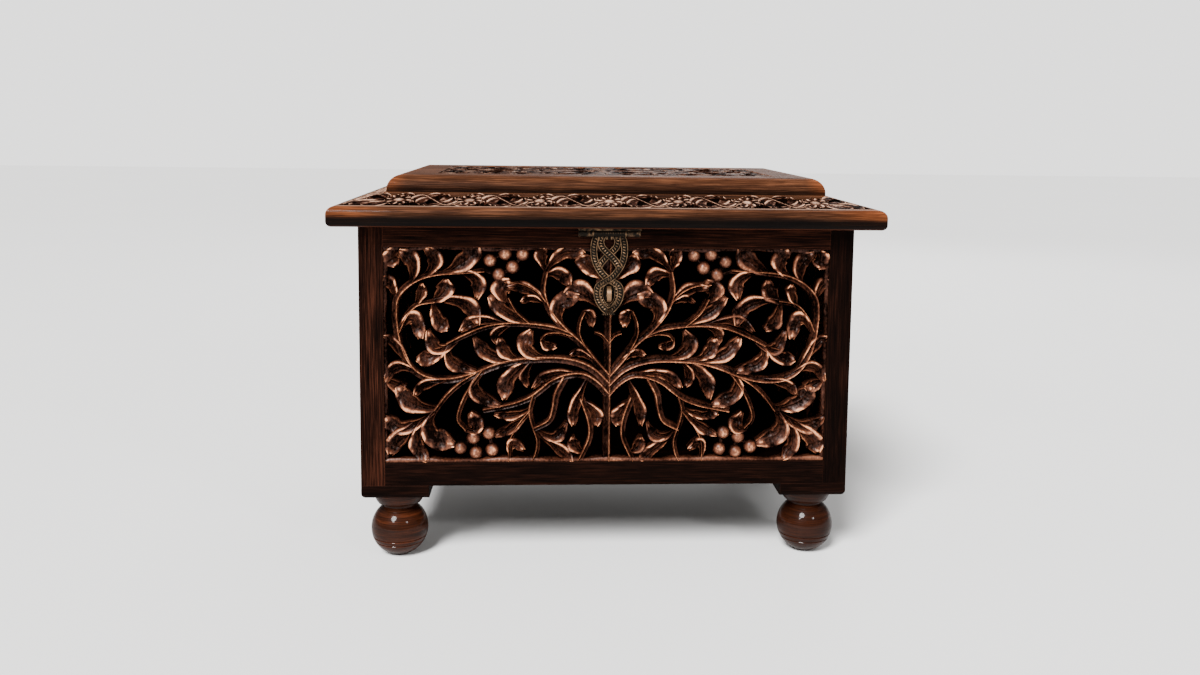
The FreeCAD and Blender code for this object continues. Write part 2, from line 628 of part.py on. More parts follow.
def curve_edge(points):
    if len(points) == 2:
        return Part.LineSegment(points[0], points[1]).toShape()
    curve = Part.BSplineCurve()
    curve.interpolate(points)
    return curve.toShape()


def outward(face):
    """The face turned to look out of the panel, so that its neighbours can merge with it."""
    if face.normalAt(0, 0).y > 0:
        face.reverse()
    return face


def panel_point(across, up):
    """A point of the carved face from the middle of its lower edge, in its wall's frame."""
    return Vector(across, size("panel_setback"), size("opening_bottom") + size("fit_gap") + up)


def plate_face(half_width, low, high):
    """A rectangle of the carved face."""
    corners = [(-half_width, low), (half_width, low), (half_width, high), (-half_width, high)]
    return Part.Face(Part.makePolygon([panel_point(*corner) for corner in corners + corners[:1]]))


def tracery_faces(half, height, mirror):
    """Stems, leaves and berries of one half of the tree, in the plane of the panel's face."""

    def spot(share):
        return panel_point(mirror * share[0] * half, share[1] * height)

    stem = size("stem_width")
    faces = []
    for start_share, end_share, route in STEM_SHARES:
        faces.append(stem_face([spot(share) for share in route], start_share * stem, end_share * stem))
    for root, rib, tip, width_share in LEAF_SHARES:
        faces.append(leaf_face(spot(root), spot(rib), spot(tip), width_share * LEAF_FULLNESS * height))
    for share in BERRY_SHARES:
        faces.append(disc_face(spot(share), size("berry_diameter")))
    return faces


def boss_face(height):
    """The swelling of the trunk that carries the staple behind the hasp."""
    wide = size("boss_width")
    right = [panel_point(across * wide, up * height) for across, up in BOSS_SHARES]
    left = [Vector(-point.x, point.y, point.z) for point in right[:0:-1]]
    return Part.Face(Part.Wire([
        curve_edge(right), Part.LineSegment(right[-1], left[0]).toShape(), curve_edge(left + right[:1]),
    ]))


def pierced_panel(opening, with_boss):
    """A panel cut right through between the stems and leaves, with a rim and a tongue all round.

    It is drawn in its wall's frame: X from the middle, Y inward from the posts' outer face and Z up.
    """
    gap = size("fit_gap")
    half = opening / 2 - gap
    height = size("opening_height") - 2 * gap
    rim = size("rim_width")
    outline = outward(plate_face(half, 0, height))
    frame = outline.cut(plate_face(half - rim, rim, height - rim))
    faces = tracery_faces(half, height, 1) + tracery_faces(half, height, -1)
    if with_boss:
        faces.append(boss_face(height))
    overlaid = frame.fuse([outward(face) for face in faces]).common(outline)
    carved = Part.makeShell(overlaid.Faces).removeSplitter().Faces[0]
    body = carved.extrude(Vector(0, size("panel_thickness"), 0))
    reach = size("tongue_depth")
    tongue = plate_face(half + reach, -reach, height + reach).cut(plate_face(half - rim, rim, height - rim))
    tongue.translate(Vector(0, size("tongue_near") - size("panel_setback"), 0))
    return body.fuse(tongue.extrude(Vector(0, size("tongue_thickness"), 0))).removeSplitter()


def make_panels():
    """Three pierced panels, and a plain board at the back."""
    side_shape = pierced_panel(size("side_opening"), False)
    shapes = {
        "front": pierced_panel(size("front_opening"), True),
        "right": side_shape,
        "left": side_shape,
    }
    for wall, shape in shapes.items():
        panel = doc.addObject("Part::Feature", f"panel_{wall}_carving")
        panel.Shape = shape
        if wall == "front":
            hole = cylinder(
                "staple_hole", "shank_diameter / 2 + fit_gap", "panel_thickness", "0", "panel_setback",
                "slot_level", "y",
            )
            panel = cut("panel_front", panel, [hole])
        place(piece(panel, "panel_" + wall), **wall_offset(wall))
    field = box(
        "panel_back_field", "front_opening - 2 * fit_gap", "panel_thickness", "opening_height - 2 * fit_gap",
        "fit_gap - front_opening / 2", "panel_setback", "opening_bottom + fit_gap",
    )
    tongue = box(
        "panel_back_tongue", "front_opening + 2 * tongue_depth", "tongue_thickness",
        "opening_height + 2 * tongue_depth", "-front_opening / 2 - tongue_depth", "tongue_near",
        "opening_bottom - tongue_depth",
    )
    place(piece(fuse("panel_back", [field, tongue]), "panel_back"), **wall_offset("back"))


def make_floor():
    """The floor board lies on the pads inside the bottom rails, notched round the posts."""
    inset = "rail_thickness + fit_gap"
    notch = "post_side - rail_thickness + cut_overrun"
    board = box(
        "floor_stock", f"body_width - 2 * ({inset})", f"body_depth - 2 * ({inset})", "floor_thickness",
        f"{inset} - half_width", f"{inset} - half_depth", "rail_bottom",
    )
    near = {
        "half_width": ("rail_thickness - cut_overrun - half_width + fit_gap", "half_width - post_side - fit_gap"),
        "half_depth": ("rail_thickness - cut_overrun - half_depth + fit_gap", "half_depth - post_side - fit_gap"),
    }
    tools = [
        box(f"floor_notch_{i}{j}", notch, notch, "floor_thickness", x, y, "rail_bottom")
        for i, x in enumerate(near["half_width"]) for j, y in enumerate(near["half_depth"])
    ]
    piece(cut("floor_board", board, tools), "floor_board")


def make_pads():
    """Square pads under the posts, rounded along the two outer lower edges, bored for a foot's dowel."""
    for corner in CORNERS:
        body = doc.addObject("PartDesign::Body", "pad_" + corner)
        square = profile(body, f"pad_{corner}_plan", "XY_Plane", [rectangle("0", "0", "pad_side", "pad_side")])
        block = pad(body, f"pad_{corner}_block", square, "pad_height")

        def outer_lower(edge):
            low = edge.BoundBox.ZMax < size("pad_edge_radius") / 2
            return low and min(edge.BoundBox.XMax, edge.BoundBox.YMax) < size("pad_edge_radius") / 2

        fillet(body, f"pad_{corner}_rounding", block, "pad_edge_radius", outer_lower)
        bore = body.newObject("Sketcher::SketchObject", f"pad_{corner}_bore_plan")
        bore.AttachmentSupport = [(origin_plane(body, "XY_Plane"), "")]
        bore.MapMode = "FlatFace"
        inset = size("foot_inset")
        radius = size("dowel_diameter") / 2 + size("fit_gap")
        circle = bore.addGeometry(Part.Circle(Vector(inset, inset, 0), Z_AXIS, radius))
        for kind, text in (("DistanceX", "foot_inset"), ("DistanceY", "foot_inset")):
            bound = bore.addConstraint(Sketcher.Constraint(kind, -1, 1, circle, 3, inset))
            bore.setExpression(f"Constraints[{bound}]", formula(text))
        bound = bore.addConstraint(Sketcher.Constraint("Radius", circle, radius))
        bore.setExpression(f"Constraints[{bound}]", formula("dowel_diameter / 2 + fit_gap"))
        pocket(body, f"pad_{corner}_bore", bore, "dowel_length + fit_gap", reversed_way=True)
        place(piece(body, "pad_" + corner), **corner_offset(corner, "foot_height"))


def on_ball(level):
    """The ball's radius at a level, as an expression."""
    return f"sqrt(ball_radius ^ 2 - ({level} - ball_centre) ^ 2)"


def foot_corners():
    """The turned foot's half section: flat, ball with two incised rings, neck, collar and dowel."""
    corners = [("0", "0"), ("foot_flat_diameter / 2", "0", "ball_radius", 1)]
    for ring in ("ring_lower_height", "ring_upper_height"):
        low = f"{ring} - ring_width / 2"
        high = f"{ring} + ring_width / 2"
        corners.append((on_ball(f"({low})"), low))
        corners.append((on_ball(ring) + " - ring_depth", ring))
        corners.append((on_ball(f"({high})"), high, "ball_radius", 1))
    collar_level = "foot_height - collar_height"
    corners += [
        ("neck_diameter / 2", "neck_level"),
        ("neck_diameter / 2", collar_level),
        ("collar_bottom_diameter / 2", collar_level, "collar_bulge_radius", 1),
        ("collar_top_diameter / 2", "foot_height"),
        ("dowel_diameter / 2", "foot_height"),
        ("dowel_diameter / 2", "foot_height + dowel_length"),
        ("0", "foot_height + dowel_length"),
    ]
    return corners


def make_feet():
    for corner in CORNERS:
        body = doc.addObject("PartDesign::Body", "foot_" + corner)
        half_section = profile(body, f"foot_{corner}_section", "XZ_Plane", [foot_corners()])
        turning = body.newObject("PartDesign::Revolution", f"foot_{corner}_turning")
        turning.Profile = half_section
        turning.ReferenceAxis = (half_section, ["V_Axis"])
        x = "half_width - foot_inset" if "right" in corner else "foot_inset - half_width"
        y = "half_depth - foot_inset" if "back" in corner else "foot_inset - half_depth"
        place(piece(body, "foot_" + corner), x, y, "0")


def moulding_corners():
    """The lid moulding's section: X inward from the lid's edge, Y up from its seat."""
    return (
        ("lid_edge_bottom_radius", "0"),
        ("moulding_width", "0"),
        ("moulding_width", "moulding_height"),
        ("border_width", "moulding_height"),
        ("channel_end", "channel_end_rise"),
        ("channel_end", "channel_end_rise - carving_depth"),
        ("channel_start", "channel_start_rise - carving_depth"),
        ("channel_start", "channel_start_rise"),
        ("lid_edge_top_radius", "lid_edge_thickness", "lid_edge_top_radius", 1),
        ("0", "lid_edge_thickness - lid_edge_top_radius"),
        ("0", "lid_edge_bottom_radius", "lid_edge_bottom_radius", 1),
    )


def make_lid_frame():
    """Four mitred mouldings with a rounded edge and a carved border in a sunk channel."""
    front_relief = border_relief(size("lid_width"), FRONT_ROSETTES)
    side_relief = border_relief(size("lid_depth"), SIDE_ROSETTES)
    for wall in WALLS:
        length = "lid_width" if wall in ("front", "back") else "lid_depth"
        name = "lid_moulding_" + wall
        body = doc.addObject("PartDesign::Body", name)
        section = profile(body, name + "_section", "YZ_Plane", [moulding_corners()])
        pad(body, name + "_run", section, length, symmetric=True)
        far = "moulding_width + cut_overrun"
        mitres = [
            (
                (f"-({length} / 2 + cut_overrun)", "-cut_overrun"),
                (f"{far} - {length} / 2", far),
                (f"-({length} / 2 + cut_overrun)", far),
            ),
            (
                (f"{length} / 2 + cut_overrun", "-cut_overrun"),
                (f"{length} / 2 + cut_overrun", far),
                (f"{length} / 2 - ({far})", far),
            ),
        ]
        pocket(body, name + "_mitres", profile(body, name + "_mitre_plan", "XY_Plane", mitres))
        where = wall_offset(wall, "seat_level", "lid_width / 2", "lid_depth / 2")
        body.Label = name + "_blank"
        if wall not in ("front", "back"):
            place(carve(name, body, side_relief), **where)
            continue
        places = hinge_screw_places() if wall == "back" else hasp_screw_places()
        inward = "lid_screw_inset" if wall == "back" else "hasp_screw_inset"
        pilots = [
            cylinder(
                f"{name}_pilot_{index}", "screw_diameter / 2 + fit_gap", "screw_length", x, inward, "0"
            )
            for index, x in enumerate(places)
        ]
        place(carve(name, cut(name + "_drilled", body, pilots), front_relief), **where)


def raised(faces, low, high):
    """Upright faces laid down as a plan and raised from one level to another, as one shape."""
    prisms = []
    for face in faces:
        face.rotate(Vector(), X_AXIS, -QUARTER_TURN)
        face.translate(Vector(0, 0, low))
        prisms.append(face.extrude(Vector(0, 0, high - low)))
    return prisms[0].fuse(prisms[1:]).removeSplitter()


def disc_face(centre, diameter):
    circle = Part.makeCircle(diameter / 2, centre, Vector(0, 1, 0))
    return Part.Face(Part.Wire([circle]))


def border_faces(length, count):
    """Rosettes, vines and leaves of one side of the lid: X along the side, Z inward from the lid's edge."""
    middle = (size("channel_start") + size("channel_end")) / 2
    reach = (size("channel_end") - size("channel_start")) / 2 * CARVED_SHARE
    first = size("rosette_inset") - length / 2
    pitch = (length - 2 * size("rosette_inset")) / (count - 1)
    vine = size("vine_width")
    faces = [
        disc_face(Vector(first + index * pitch, 0, middle), size("rosette_diameter")) for index in range(count)
    ]
    for index in range(count - 1):

        def spot(share):
            return Vector(first + (index + share[0]) * pitch, 0, middle + share[1] * reach)

        faces.append(stem_face([spot(share) for share in VINE_SHARES], vine, vine))
        for root, rib, tip, width_share in BORDER_LEAF_SHARES:
            faces.append(leaf_face(spot(root), spot(rib), spot(tip), width_share * reach))
    for way in (-1, 1):

        def corner_spot(share):
            return Vector(way * (share[0] * reach - first), 0, middle + share[1] * reach)

        for root, rib, tip, width_share in CORNER_LEAF_SHARES:
            faces.append(leaf_face(corner_spot(root), corner_spot(rib), corner_spot(tip), width_share * reach))
    return faces


def border_relief(length, count):
    """The border's carving, raised from under its sloping ground to the relief's height over it."""
    ground_start = size("channel_start_rise") - size("carving_depth")
    ground_end = size("channel_end_rise") - size("carving_depth")
    bite = size("relief_height")
    section = [
        Vector(-length / 2, size("channel_start"), ground_start - bite),
        Vector(-length / 2, size("channel_end"), ground_end - bite),
        Vector(-length / 2, size("channel_end"), ground_end + size("relief_height")),
        Vector(-length / 2, size("channel_start"), ground_start + size("relief_height")),
    ]
    slab = Part.Face(Part.makePolygon(section + section[:1])).extrude(Vector(length, 0, 0))
    return raised(border_faces(length, count), 0, size("moulding_height")).common(slab)


def field_relief():
    """The scrolling leaves of the raised board's field, round a heart."""
    half_width = size("board_width") / 2 - size("field_inset")
    half_depth = size("board_depth") / 2 - size("field_inset")
    vine = size("vine_width")
    faces = [disc_face(Vector(), 2 * size("rosette_diameter"))]
    for x_way, y_way in QUARTERS:

        def spot(share):
            return Vector(x_way * share[0] * half_width, 0, y_way * share[1] * half_depth)

        for start_share, end_share, route in FIELD_STEM_SHARES:
            faces.append(stem_face([spot(share) for share in route], start_share * vine, end_share * vine))
        for root, rib, tip, width_share in FIELD_LEAF_SHARES:
            faces.append(leaf_face(spot(root), spot(rib), spot(tip), width_share * half_depth))
    ground = size("board_thickness") - size("carving_depth")
    return raised(faces, ground - size("relief_height"), ground + size("relief_height"))


def carve(name, blank, relief):
    """A blank with its carving raised on it, as one sub-part."""
    carving = doc.addObject("Part::Feature", name + "_relief")
    carving.Shape = relief
    return piece(fuse(name + "_carved", [blank, carving]), name)


def hasp_screw_places():
    return ["-hasp_barrel_length / 3", "hasp_barrel_length / 3"]


def make_raised_board():
    """The raised board lies on the mouldings' ledges; its edge is rounded and its sunk field is carved."""
    body = doc.addObject("PartDesign::Body", "lid_raised_board")
    plan = profile(body, "board_plan", "XY_Plane", [
        rectangle("-board_width / 2", "-board_depth / 2", "board_width / 2", "board_depth / 2")
    ])
    slab = pad(body, "board_slab", plan, "board_thickness")
    top = size("board_thickness") - size("board_edge_radius") / 2
    fillet(body, "board_rounding", slab, "board_edge_radius", lambda edge: edge.BoundBox.ZMin > top)
    field = profile(body, "board_field_plan", "XY_Plane", [
        rectangle(
            "field_inset - board_width / 2", "field_inset - board_depth / 2",
            "board_width / 2 - field_inset", "board_depth / 2 - field_inset",
        )
    ])
    field.setExpression("AttachmentOffset.Base.z", formula("board_thickness"))
    pocket(body, "board_field", field, "carving_depth")
    body.Label = "lid_raised_board_blank"
    place(carve("lid_raised_board", body, field_relief()), "0", "0", "seat_level + moulding_height")


def screw(name, x, y, z, axis):
    """A countersunk screw whose head lies flush at the given place and points along the axis."""
    head = cone(
        name + "_head", "screw_head_diameter / 2", "screw_diameter / 2", "screw_head_height", x, y, z, axis
    )
    shank = cylinder(name + "_shank", "screw_diameter / 2", "screw_length", x, y, z, axis)
    return fuse(name, [head, shank])


def screw_hole(name, x, y, z, axis):
    """The countersunk hole for such a screw."""
    sink = cone(
        name + "_sink", "screw_head_diameter / 2 + fit_gap", "screw_diameter / 2 + fit_gap",
        "screw_head_height", x, y, z, axis,
    )
    bore = cylinder(
        name + "_bore", "screw_diameter / 2 + fit_gap", "leaf_thickness + cut_overrun", x, y, z, axis
    )
    return fuse(name, [sink, bore])


def group(label, members):
    made = doc.addObject("Part::Compound", label)
    made.Links = members
    return piece(made, label)


def make_hinges():
    """Two butt hinges behind the chest, in the corner between the back rail and the overhang."""
    base_screws, lid_screws = [], []
    for side, sign in (("left", "-1"), ("right", "1")):
        name = "hinge_" + side
        middle = f"{sign} * hinge_spacing / 2"
        start = f"{middle} - hinge_length / 2"
        step = "hinge_knuckle_length + knuckle_gap"
        knuckles = [f"{start} + {index} * ({step})" for index in range(3)]
        bore = cylinder(
            name + "_bore", "hinge_pin_diameter / 2 + pin_gap", "hinge_length", start, "hinge_axis_y",
            "hinge_axis_z", "x",
        )

        def knuckle(index, label):
            return cylinder(
                f"{name}_{label}_knuckle_{index}", "hinge_radius", "hinge_knuckle_length", knuckles[index],
                "hinge_axis_y", "hinge_axis_z", "x",
            )

        base_solids = [box(
            name + "_base_plate", "hinge_length", "leaf_thickness",
            "hinge_leaf_height - hinge_radius - knuckle_gap", start, "half_depth",
            "hinge_axis_z - hinge_leaf_height",
        )]
        for index in (0, 2):
            base_solids.append(knuckle(index, "base"))
            base_solids.append(box(
                f"{name}_base_wrap_{index}", "hinge_knuckle_length", "leaf_thickness",
                "hinge_radius + knuckle_gap", knuckles[index], "half_depth",
                "hinge_axis_z - hinge_radius - knuckle_gap",
            ))
        lid_solids = [
            box(
                name + "_lid_plate", "hinge_length", "hinge_leaf_width - hinge_radius - knuckle_gap",
                "leaf_thickness", start, "hinge_axis_y + hinge_radius + knuckle_gap",
                "seat_level - leaf_thickness",
            ),
            knuckle(1, "lid"),
            box(
                name + "_lid_wrap", "hinge_knuckle_length", "hinge_radius + knuckle_gap", "leaf_thickness",
                knuckles[1], "hinge_axis_y", "seat_level - leaf_thickness",
            ),
        ]
        base_holes, lid_holes = [], []
        for index in range(3):
            x = f"{middle} + {index - 1} * hinge_length / 3"
            base_place = (x, "half_depth + leaf_thickness", "hinge_screw_level", "-y")
            lid_place = (x, "lid_screw_y", "seat_level - leaf_thickness", "z")
            base_screws.append(screw(f"{name}_base_screw_{index}", *base_place))
            base_holes.append(screw_hole(f"{name}_base_hole_{index}", *base_place))
            lid_screws.append(screw(f"{name}_lid_screw_{index}", *lid_place))
            lid_holes.append(screw_hole(f"{name}_lid_hole_{index}", *lid_place))
        base = fuse(name + "_base_blank", base_solids)
        piece(cut(f"{name}_base_leaf", base, [bore] + base_holes), f"{name}_base_leaf")
        lid = fuse(name + "_lid_blank", lid_solids)
        piece(cut(f"{name}_lid_leaf", lid, [bore] + lid_holes), f"{name}_lid_leaf")
        piece(
            cylinder(
                name + "_pin", "hinge_pin_diameter / 2", "hinge_length", start, "hinge_axis_y",
                "hinge_axis_z", "x",
            ),
            name + "_pin",
        )
    group("hinge_base_screws", base_screws)
    group("hinge_lid_screws", lid_screws)


def hasp_face():
    """The hasp's pierced outline below its pin: an edge curve with its mirror image, and cut-outs."""
    half = size("hasp_width") / 2
    drop = size("hasp_drop")
    right = [Vector(across * half, 0, -down * drop) for across, down in HASP_EDGE_SHARES]
    left = [Vector(-point.x, 0, point.z) for point in right[::-1]]
    face = Part.Face(Part.Wire([
        curve_edge(right), Part.LineSegment(right[-1], left[0]).toShape(),
        curve_edge(left), Part.LineSegment(left[-1], right[0]).toShape(),
    ]))
    holes = [
        (Vector(across * half, 0, -down * drop), wide * half, tall * drop)
        for across, down, wide, tall in HASP_HOLE_SHARES
    ]
    holes.append((Vector(0, 0, -size("slot_drop")), size("slot_width") / 2, size("slot_height") / 2))
    return face.cut([oval_face(*hole) for hole in holes])


def oval_face(centre, half_width, half_height):
    """An upright ellipse."""
    ellipse = Part.Ellipse(
        centre + Vector(0, 0, half_height), centre + Vector(half_width, 0, 0), centre
    )
    return Part.Face(Part.Wire([ellipse.toShape()]))


def make_hasp():
    """The hasp hangs from a fixed leaf under the overhang, with its slot over the staple's eye."""
    plate = doc.addObject("Part::Feature", "hasp_plate_blank")
    plate.Shape = hasp_face().extrude(Vector(0, size("hasp_thickness"), 0))
    place(plate, "0", "hasp_front_y", "hasp_axis_z")
    barrel_start = "-hasp_knuckle_length / 2"
    knuckle = cylinder(
        "hasp_knuckle", "hasp_radius", "hasp_knuckle_length", barrel_start, "hasp_axis_y", "hasp_axis_z", "x"
    )
    whole = "hasp_barrel_length"
    bore = cylinder(
        "hasp_bore", "hasp_pin_diameter / 2 + pin_gap", whole, f"-{whole} / 2", "hasp_axis_y",
        "hasp_axis_z", "x",
    )
    piece(cut("hasp_plate", fuse("hasp_blank", [plate, knuckle]), [bore]), "hasp_plate")
    piece(
        cylinder(
            "hasp_pin", "hasp_pin_diameter / 2", whole, f"-{whole} / 2", "hasp_axis_y", "hasp_axis_z", "x"
        ),
        "hasp_pin",
    )
    solids = [box(
        "hasp_leaf_plate", whole, "hasp_leaf_width - hasp_radius - knuckle_gap", "leaf_thickness",
        f"-{whole} / 2", "hasp_axis_y - hasp_leaf_width", "seat_level - leaf_thickness",
    )]
    for side, start in (("left", f"-{whole} / 2"), ("right", f"{whole} / 2 - hasp_end_knuckle")):
        solids.append(cylinder(
            f"hasp_end_{side}", "hasp_radius", "hasp_end_knuckle", start, "hasp_axis_y", "hasp_axis_z", "x"
        ))
        solids.append(box(
            f"hasp_wrap_{side}", "hasp_end_knuckle", "hasp_radius + knuckle_gap", "leaf_thickness", start,
            "hasp_axis_y - hasp_radius - knuckle_gap", "seat_level - leaf_thickness",
        ))
    screws, holes = [], []
    for index, x in enumerate(hasp_screw_places()):
        where = (x, "hasp_screw_y", "seat_level - leaf_thickness", "z")
        screws.append(screw(f"hasp_screw_{index}", *where))
        holes.append(screw_hole(f"hasp_hole_{index}", *where))
    piece(cut("hasp_lid_leaf", fuse("hasp_leaf_blank", solids), [bore] + holes), "hasp_lid_leaf")
    group("hasp_screws", screws)


def make_staple():
    """The padlock eye: a rounded plate on a round flange, with a shank in the panel's boss."""
    tall = "eye_height"
    plate = box(
        "eye_plate", "eye_thickness", "panel_front_y - eye_bore_y", tall, "-eye_thickness / 2",
        "eye_bore_y", f"slot_level - {tall} / 2",
    )
    nose = cylinder(
        "eye_nose", f"{tall} / 2", "eye_thickness", "-eye_thickness / 2", "eye_bore_y", "slot_level", "x"
    )
    flange = cylinder(
        "eye_flange", "flange_diameter / 2", "flange_thickness", "0", "panel_front_y - flange_thickness",
        "slot_level", "y",
    )
    shank = cylinder(
        "eye_shank", "shank_diameter / 2", "flange_thickness + shank_length", "0",
        "panel_front_y - flange_thickness", "slot_level", "y",
    )
    bore = cylinder(
        "eye_bore", "eye_bore_diameter / 2", "eye_thickness + 2 * cut_overrun",
        "-eye_thickness / 2 - cut_overrun", "eye_bore_y", "slot_level", "x",
    )
    piece(cut("hasp_staple", fuse("eye_blank", [plate, nose, flange, shank]), [bore]), "hasp_staple")


def check_and_export():
    """Stops on any failed object or bad shape, then writes one file for each sub-part."""
    doc.recompute()
    for thing in doc.Objects:
        if "Invalid" in thing.State or "Error" in thing.State:
            raise RuntimeError(f"{thing.Label} failed: {thing.State}")
    for thing in pieces:
        shape = thing.Shape
        if shape.isNull() or not shape.isValid() or not shape.Solids:
            raise RuntimeError(f"{thing.Label} has a bad shape")
        if len(shape.Solids) > 1 and not thing.Label.endswith("screws"):
            raise RuntimeError(f"{thing.Label} fell into {len(shape.Solids)} solids")
    os.makedirs("parts", exist_ok=True)
    for thing in pieces:
        thing.Shape.exportStep(f"parts/{thing.Label}.step")
    print(len(pieces), "sub-parts written")


fill_sheet()
make_posts()
make_rails()
make_panels()
make_floor()
make_pads()
make_feet()
make_lid_frame()
make_raised_board()
make_hinges()
make_hasp()
make_staple()
check_and_export()
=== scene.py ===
"""Carves and finishes the chest, and sets up its pale studio.

Metres, X to the right, Y to the back, Z up, origin on the floor under the middle of the chest.
Carvings are rings of points carried along paths, worked out as whole arrays.
"""
import json
import math

import bpy
import numpy as np
from bpy.props import FloatProperty, FloatVectorProperty, IntProperty, PointerProperty
from bpy.types import Operator, Panel, PropertyGroup
from mathutils import Matrix, Vector


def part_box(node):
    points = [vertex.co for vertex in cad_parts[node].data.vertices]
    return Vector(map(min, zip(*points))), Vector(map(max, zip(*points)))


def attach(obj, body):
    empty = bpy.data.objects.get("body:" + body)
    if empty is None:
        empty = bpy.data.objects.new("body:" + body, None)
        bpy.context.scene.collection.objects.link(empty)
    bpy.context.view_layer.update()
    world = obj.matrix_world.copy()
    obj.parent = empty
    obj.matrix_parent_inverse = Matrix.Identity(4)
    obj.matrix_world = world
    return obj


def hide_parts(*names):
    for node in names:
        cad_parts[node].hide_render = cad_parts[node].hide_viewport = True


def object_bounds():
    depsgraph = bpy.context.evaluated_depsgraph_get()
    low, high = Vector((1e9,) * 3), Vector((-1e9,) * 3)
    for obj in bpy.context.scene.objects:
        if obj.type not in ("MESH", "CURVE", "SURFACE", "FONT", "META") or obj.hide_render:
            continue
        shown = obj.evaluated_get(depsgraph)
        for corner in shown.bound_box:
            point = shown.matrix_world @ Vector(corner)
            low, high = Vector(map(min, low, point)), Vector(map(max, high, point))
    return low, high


bl_info = {
    "name": "Carved chest",
    "version": (1, 0, 0),
    "blender": (4, 5, 0),
    "location": "View3D > Sidebar > Chest",
    "description": "Carves the panels and the lid of the chest, and gives every piece its finish",
    "category": "Add Mesh",
}

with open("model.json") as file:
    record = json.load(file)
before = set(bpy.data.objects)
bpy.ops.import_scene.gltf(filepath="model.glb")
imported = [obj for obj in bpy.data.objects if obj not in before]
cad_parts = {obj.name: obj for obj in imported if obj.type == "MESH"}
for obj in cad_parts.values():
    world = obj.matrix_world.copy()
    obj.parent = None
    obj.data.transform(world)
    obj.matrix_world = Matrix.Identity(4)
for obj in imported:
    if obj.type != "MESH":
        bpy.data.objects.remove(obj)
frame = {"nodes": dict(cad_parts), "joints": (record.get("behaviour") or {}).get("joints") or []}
cad_low, cad_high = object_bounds()

WALLS = ("front", "right", "back", "left")
CORNERS = ("front_left", "front_right", "back_right", "back_left")
CARVED_WALLS = ("front", "right", "left")
LONG_WALLS = ("front", "back")

# Places that the imported model gives, how far the staple's eye stands out, and how far across its middle it
# is rubbed bright, which also paints a highlight on it.
EYE_STAND = 0.002
EYE_RUB_AND_HIGHLIGHT_HALF = 0.0014
POST_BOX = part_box("post_front_left")
PANEL_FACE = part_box("panel_front")[0].y
OPENING_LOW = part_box("rail_bottom_front")[1].z
OPENING_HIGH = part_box("rail_top_front")[0].z
MOULDING_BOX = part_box("lid_moulding_front")
BOARD_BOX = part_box("lid_raised_board")
HASP_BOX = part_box("hasp_plate")
EYE_START = POST_BOX[0].y - EYE_STAND
HASP_AXIS = next(Vector(joint["pos_m"]) for joint in frame["joints"] if joint["name"] == "hasp_hinge")

# The carved tree, for the half with x > 0, as shares of the opening's half width and of its height.
# A stem is its thickness share at the root and at the end, and the points that it runs through.
STEM_SHARES = (
    (1.25, 1.15, ((0, 0), (0, 0.35), (0, 0.7), (0, 1))),
    (1.1, 0.8, ((0, 0.405), (0.06, 0.475), (0.12, 0.55), (0.2, 0.625), (0.265, 0.71), (0.292, 0.8),
                (0.28, 0.89))),
    (0.9, 0.7, ((0.17, 0.598), (0.24, 0.625), (0.33, 0.64), (0.43, 0.645), (0.54, 0.632), (0.64, 0.592),
                (0.72, 0.55))),
    (1.2, 1.0, ((0, 0.365), (0.06, 0.425), (0.13, 0.462), (0.22, 0.48), (0.32, 0.48), (0.42, 0.471),
                (0.51, 0.447), (0.6, 0.41), (0.7, 0.385), (0.79, 0.387), (0.86, 0.42), (0.91, 0.485),
                (0.94, 0.58), (0.952, 0.68))),
    (1.0, 0.6, ((0.952, 0.67), (0.945, 0.76), (0.9, 0.82), (0.83, 0.862), (0.75, 0.88), (0.66, 0.886),
                (0.555, 0.893))),
    (0.7, 0.6, ((0.937, 0.61), (0.905, 0.68), (0.855, 0.735), (0.775, 0.752))),
    (1.1, 0.8, ((0, 0.315), (0.05, 0.37), (0.11, 0.405), (0.18, 0.403), (0.25, 0.375), (0.3, 0.335),
                (0.35, 0.298), (0.42, 0.27), (0.5, 0.252), (0.56, 0.24))),
    (0.8, 0.6, ((0.33, 0.31), (0.347, 0.24), (0.335, 0.175), (0.312, 0.1), (0.318, 0.04), (0.335, 0))),
    (1.2, 0.8, ((0.19, 0.395), (0.228, 0.32), (0.24, 0.25), (0.262, 0.19), (0.33, 0.152))),
    (0.8, 0.7, ((0.59, 0.413), (0.66, 0.368), (0.72, 0.312), (0.775, 0.238))),
    (0.8, 0.6, ((0.56, 0.428), (0.615, 0.35), (0.655, 0.27), (0.67, 0.2), (0.635, 0.152))),
    (0.6, 0.5, ((0.345, 0.24), (0.4, 0.17), (0.438, 0.09), (0.44, 0))),
    (1.0, 0.7, ((0.115, 0.3), (0.08, 0.2), (0.074, 0.12), (0.1, 0.05), (0.125, 0))),
    (0.5, 0.5, ((0.16, 0.585), (0.22, 0.602), (0.275, 0.597), (0.298, 0.572))),
    (0.6, 0.6, ((0.35, 0.64), (0.415, 0.7), (0.452, 0.765))),
    (0.6, 0.5, ((0.282, 0.745), (0.325, 0.795), (0.39, 0.828), (0.465, 0.835))),
    (0.6, 0.5, ((0.1, 0.53), (0.13, 0.595), (0.128, 0.655), (0.108, 0.705))),
    (0.6, 0.5, ((0, 0.56), (0.03, 0.595), (0.06, 0.607))),
    (0.45, 0.4, ((0.56, 0.893), (0.492, 0.874), (0.43, 0.908), (0.385, 0.968), (0.38, 1))),
    (0.45, 0.4, ((0.492, 0.874), (0.53, 0.938), (0.463, 0.97), (0.46, 1))),
    (0.45, 0.4, ((0.64, 0.155), (0.605, 0.11), (0.593, 0.038), (0.593, 0))),
    (0.45, 0.4, ((0.495, 0.11), (0.535, 0.132), (0.605, 0.11), (0.663, 0.062), (0.72, 0.075))),
    (0.45, 0.4, ((0.535, 0.132), (0.52, 0.052), (0.52, 0))),
)

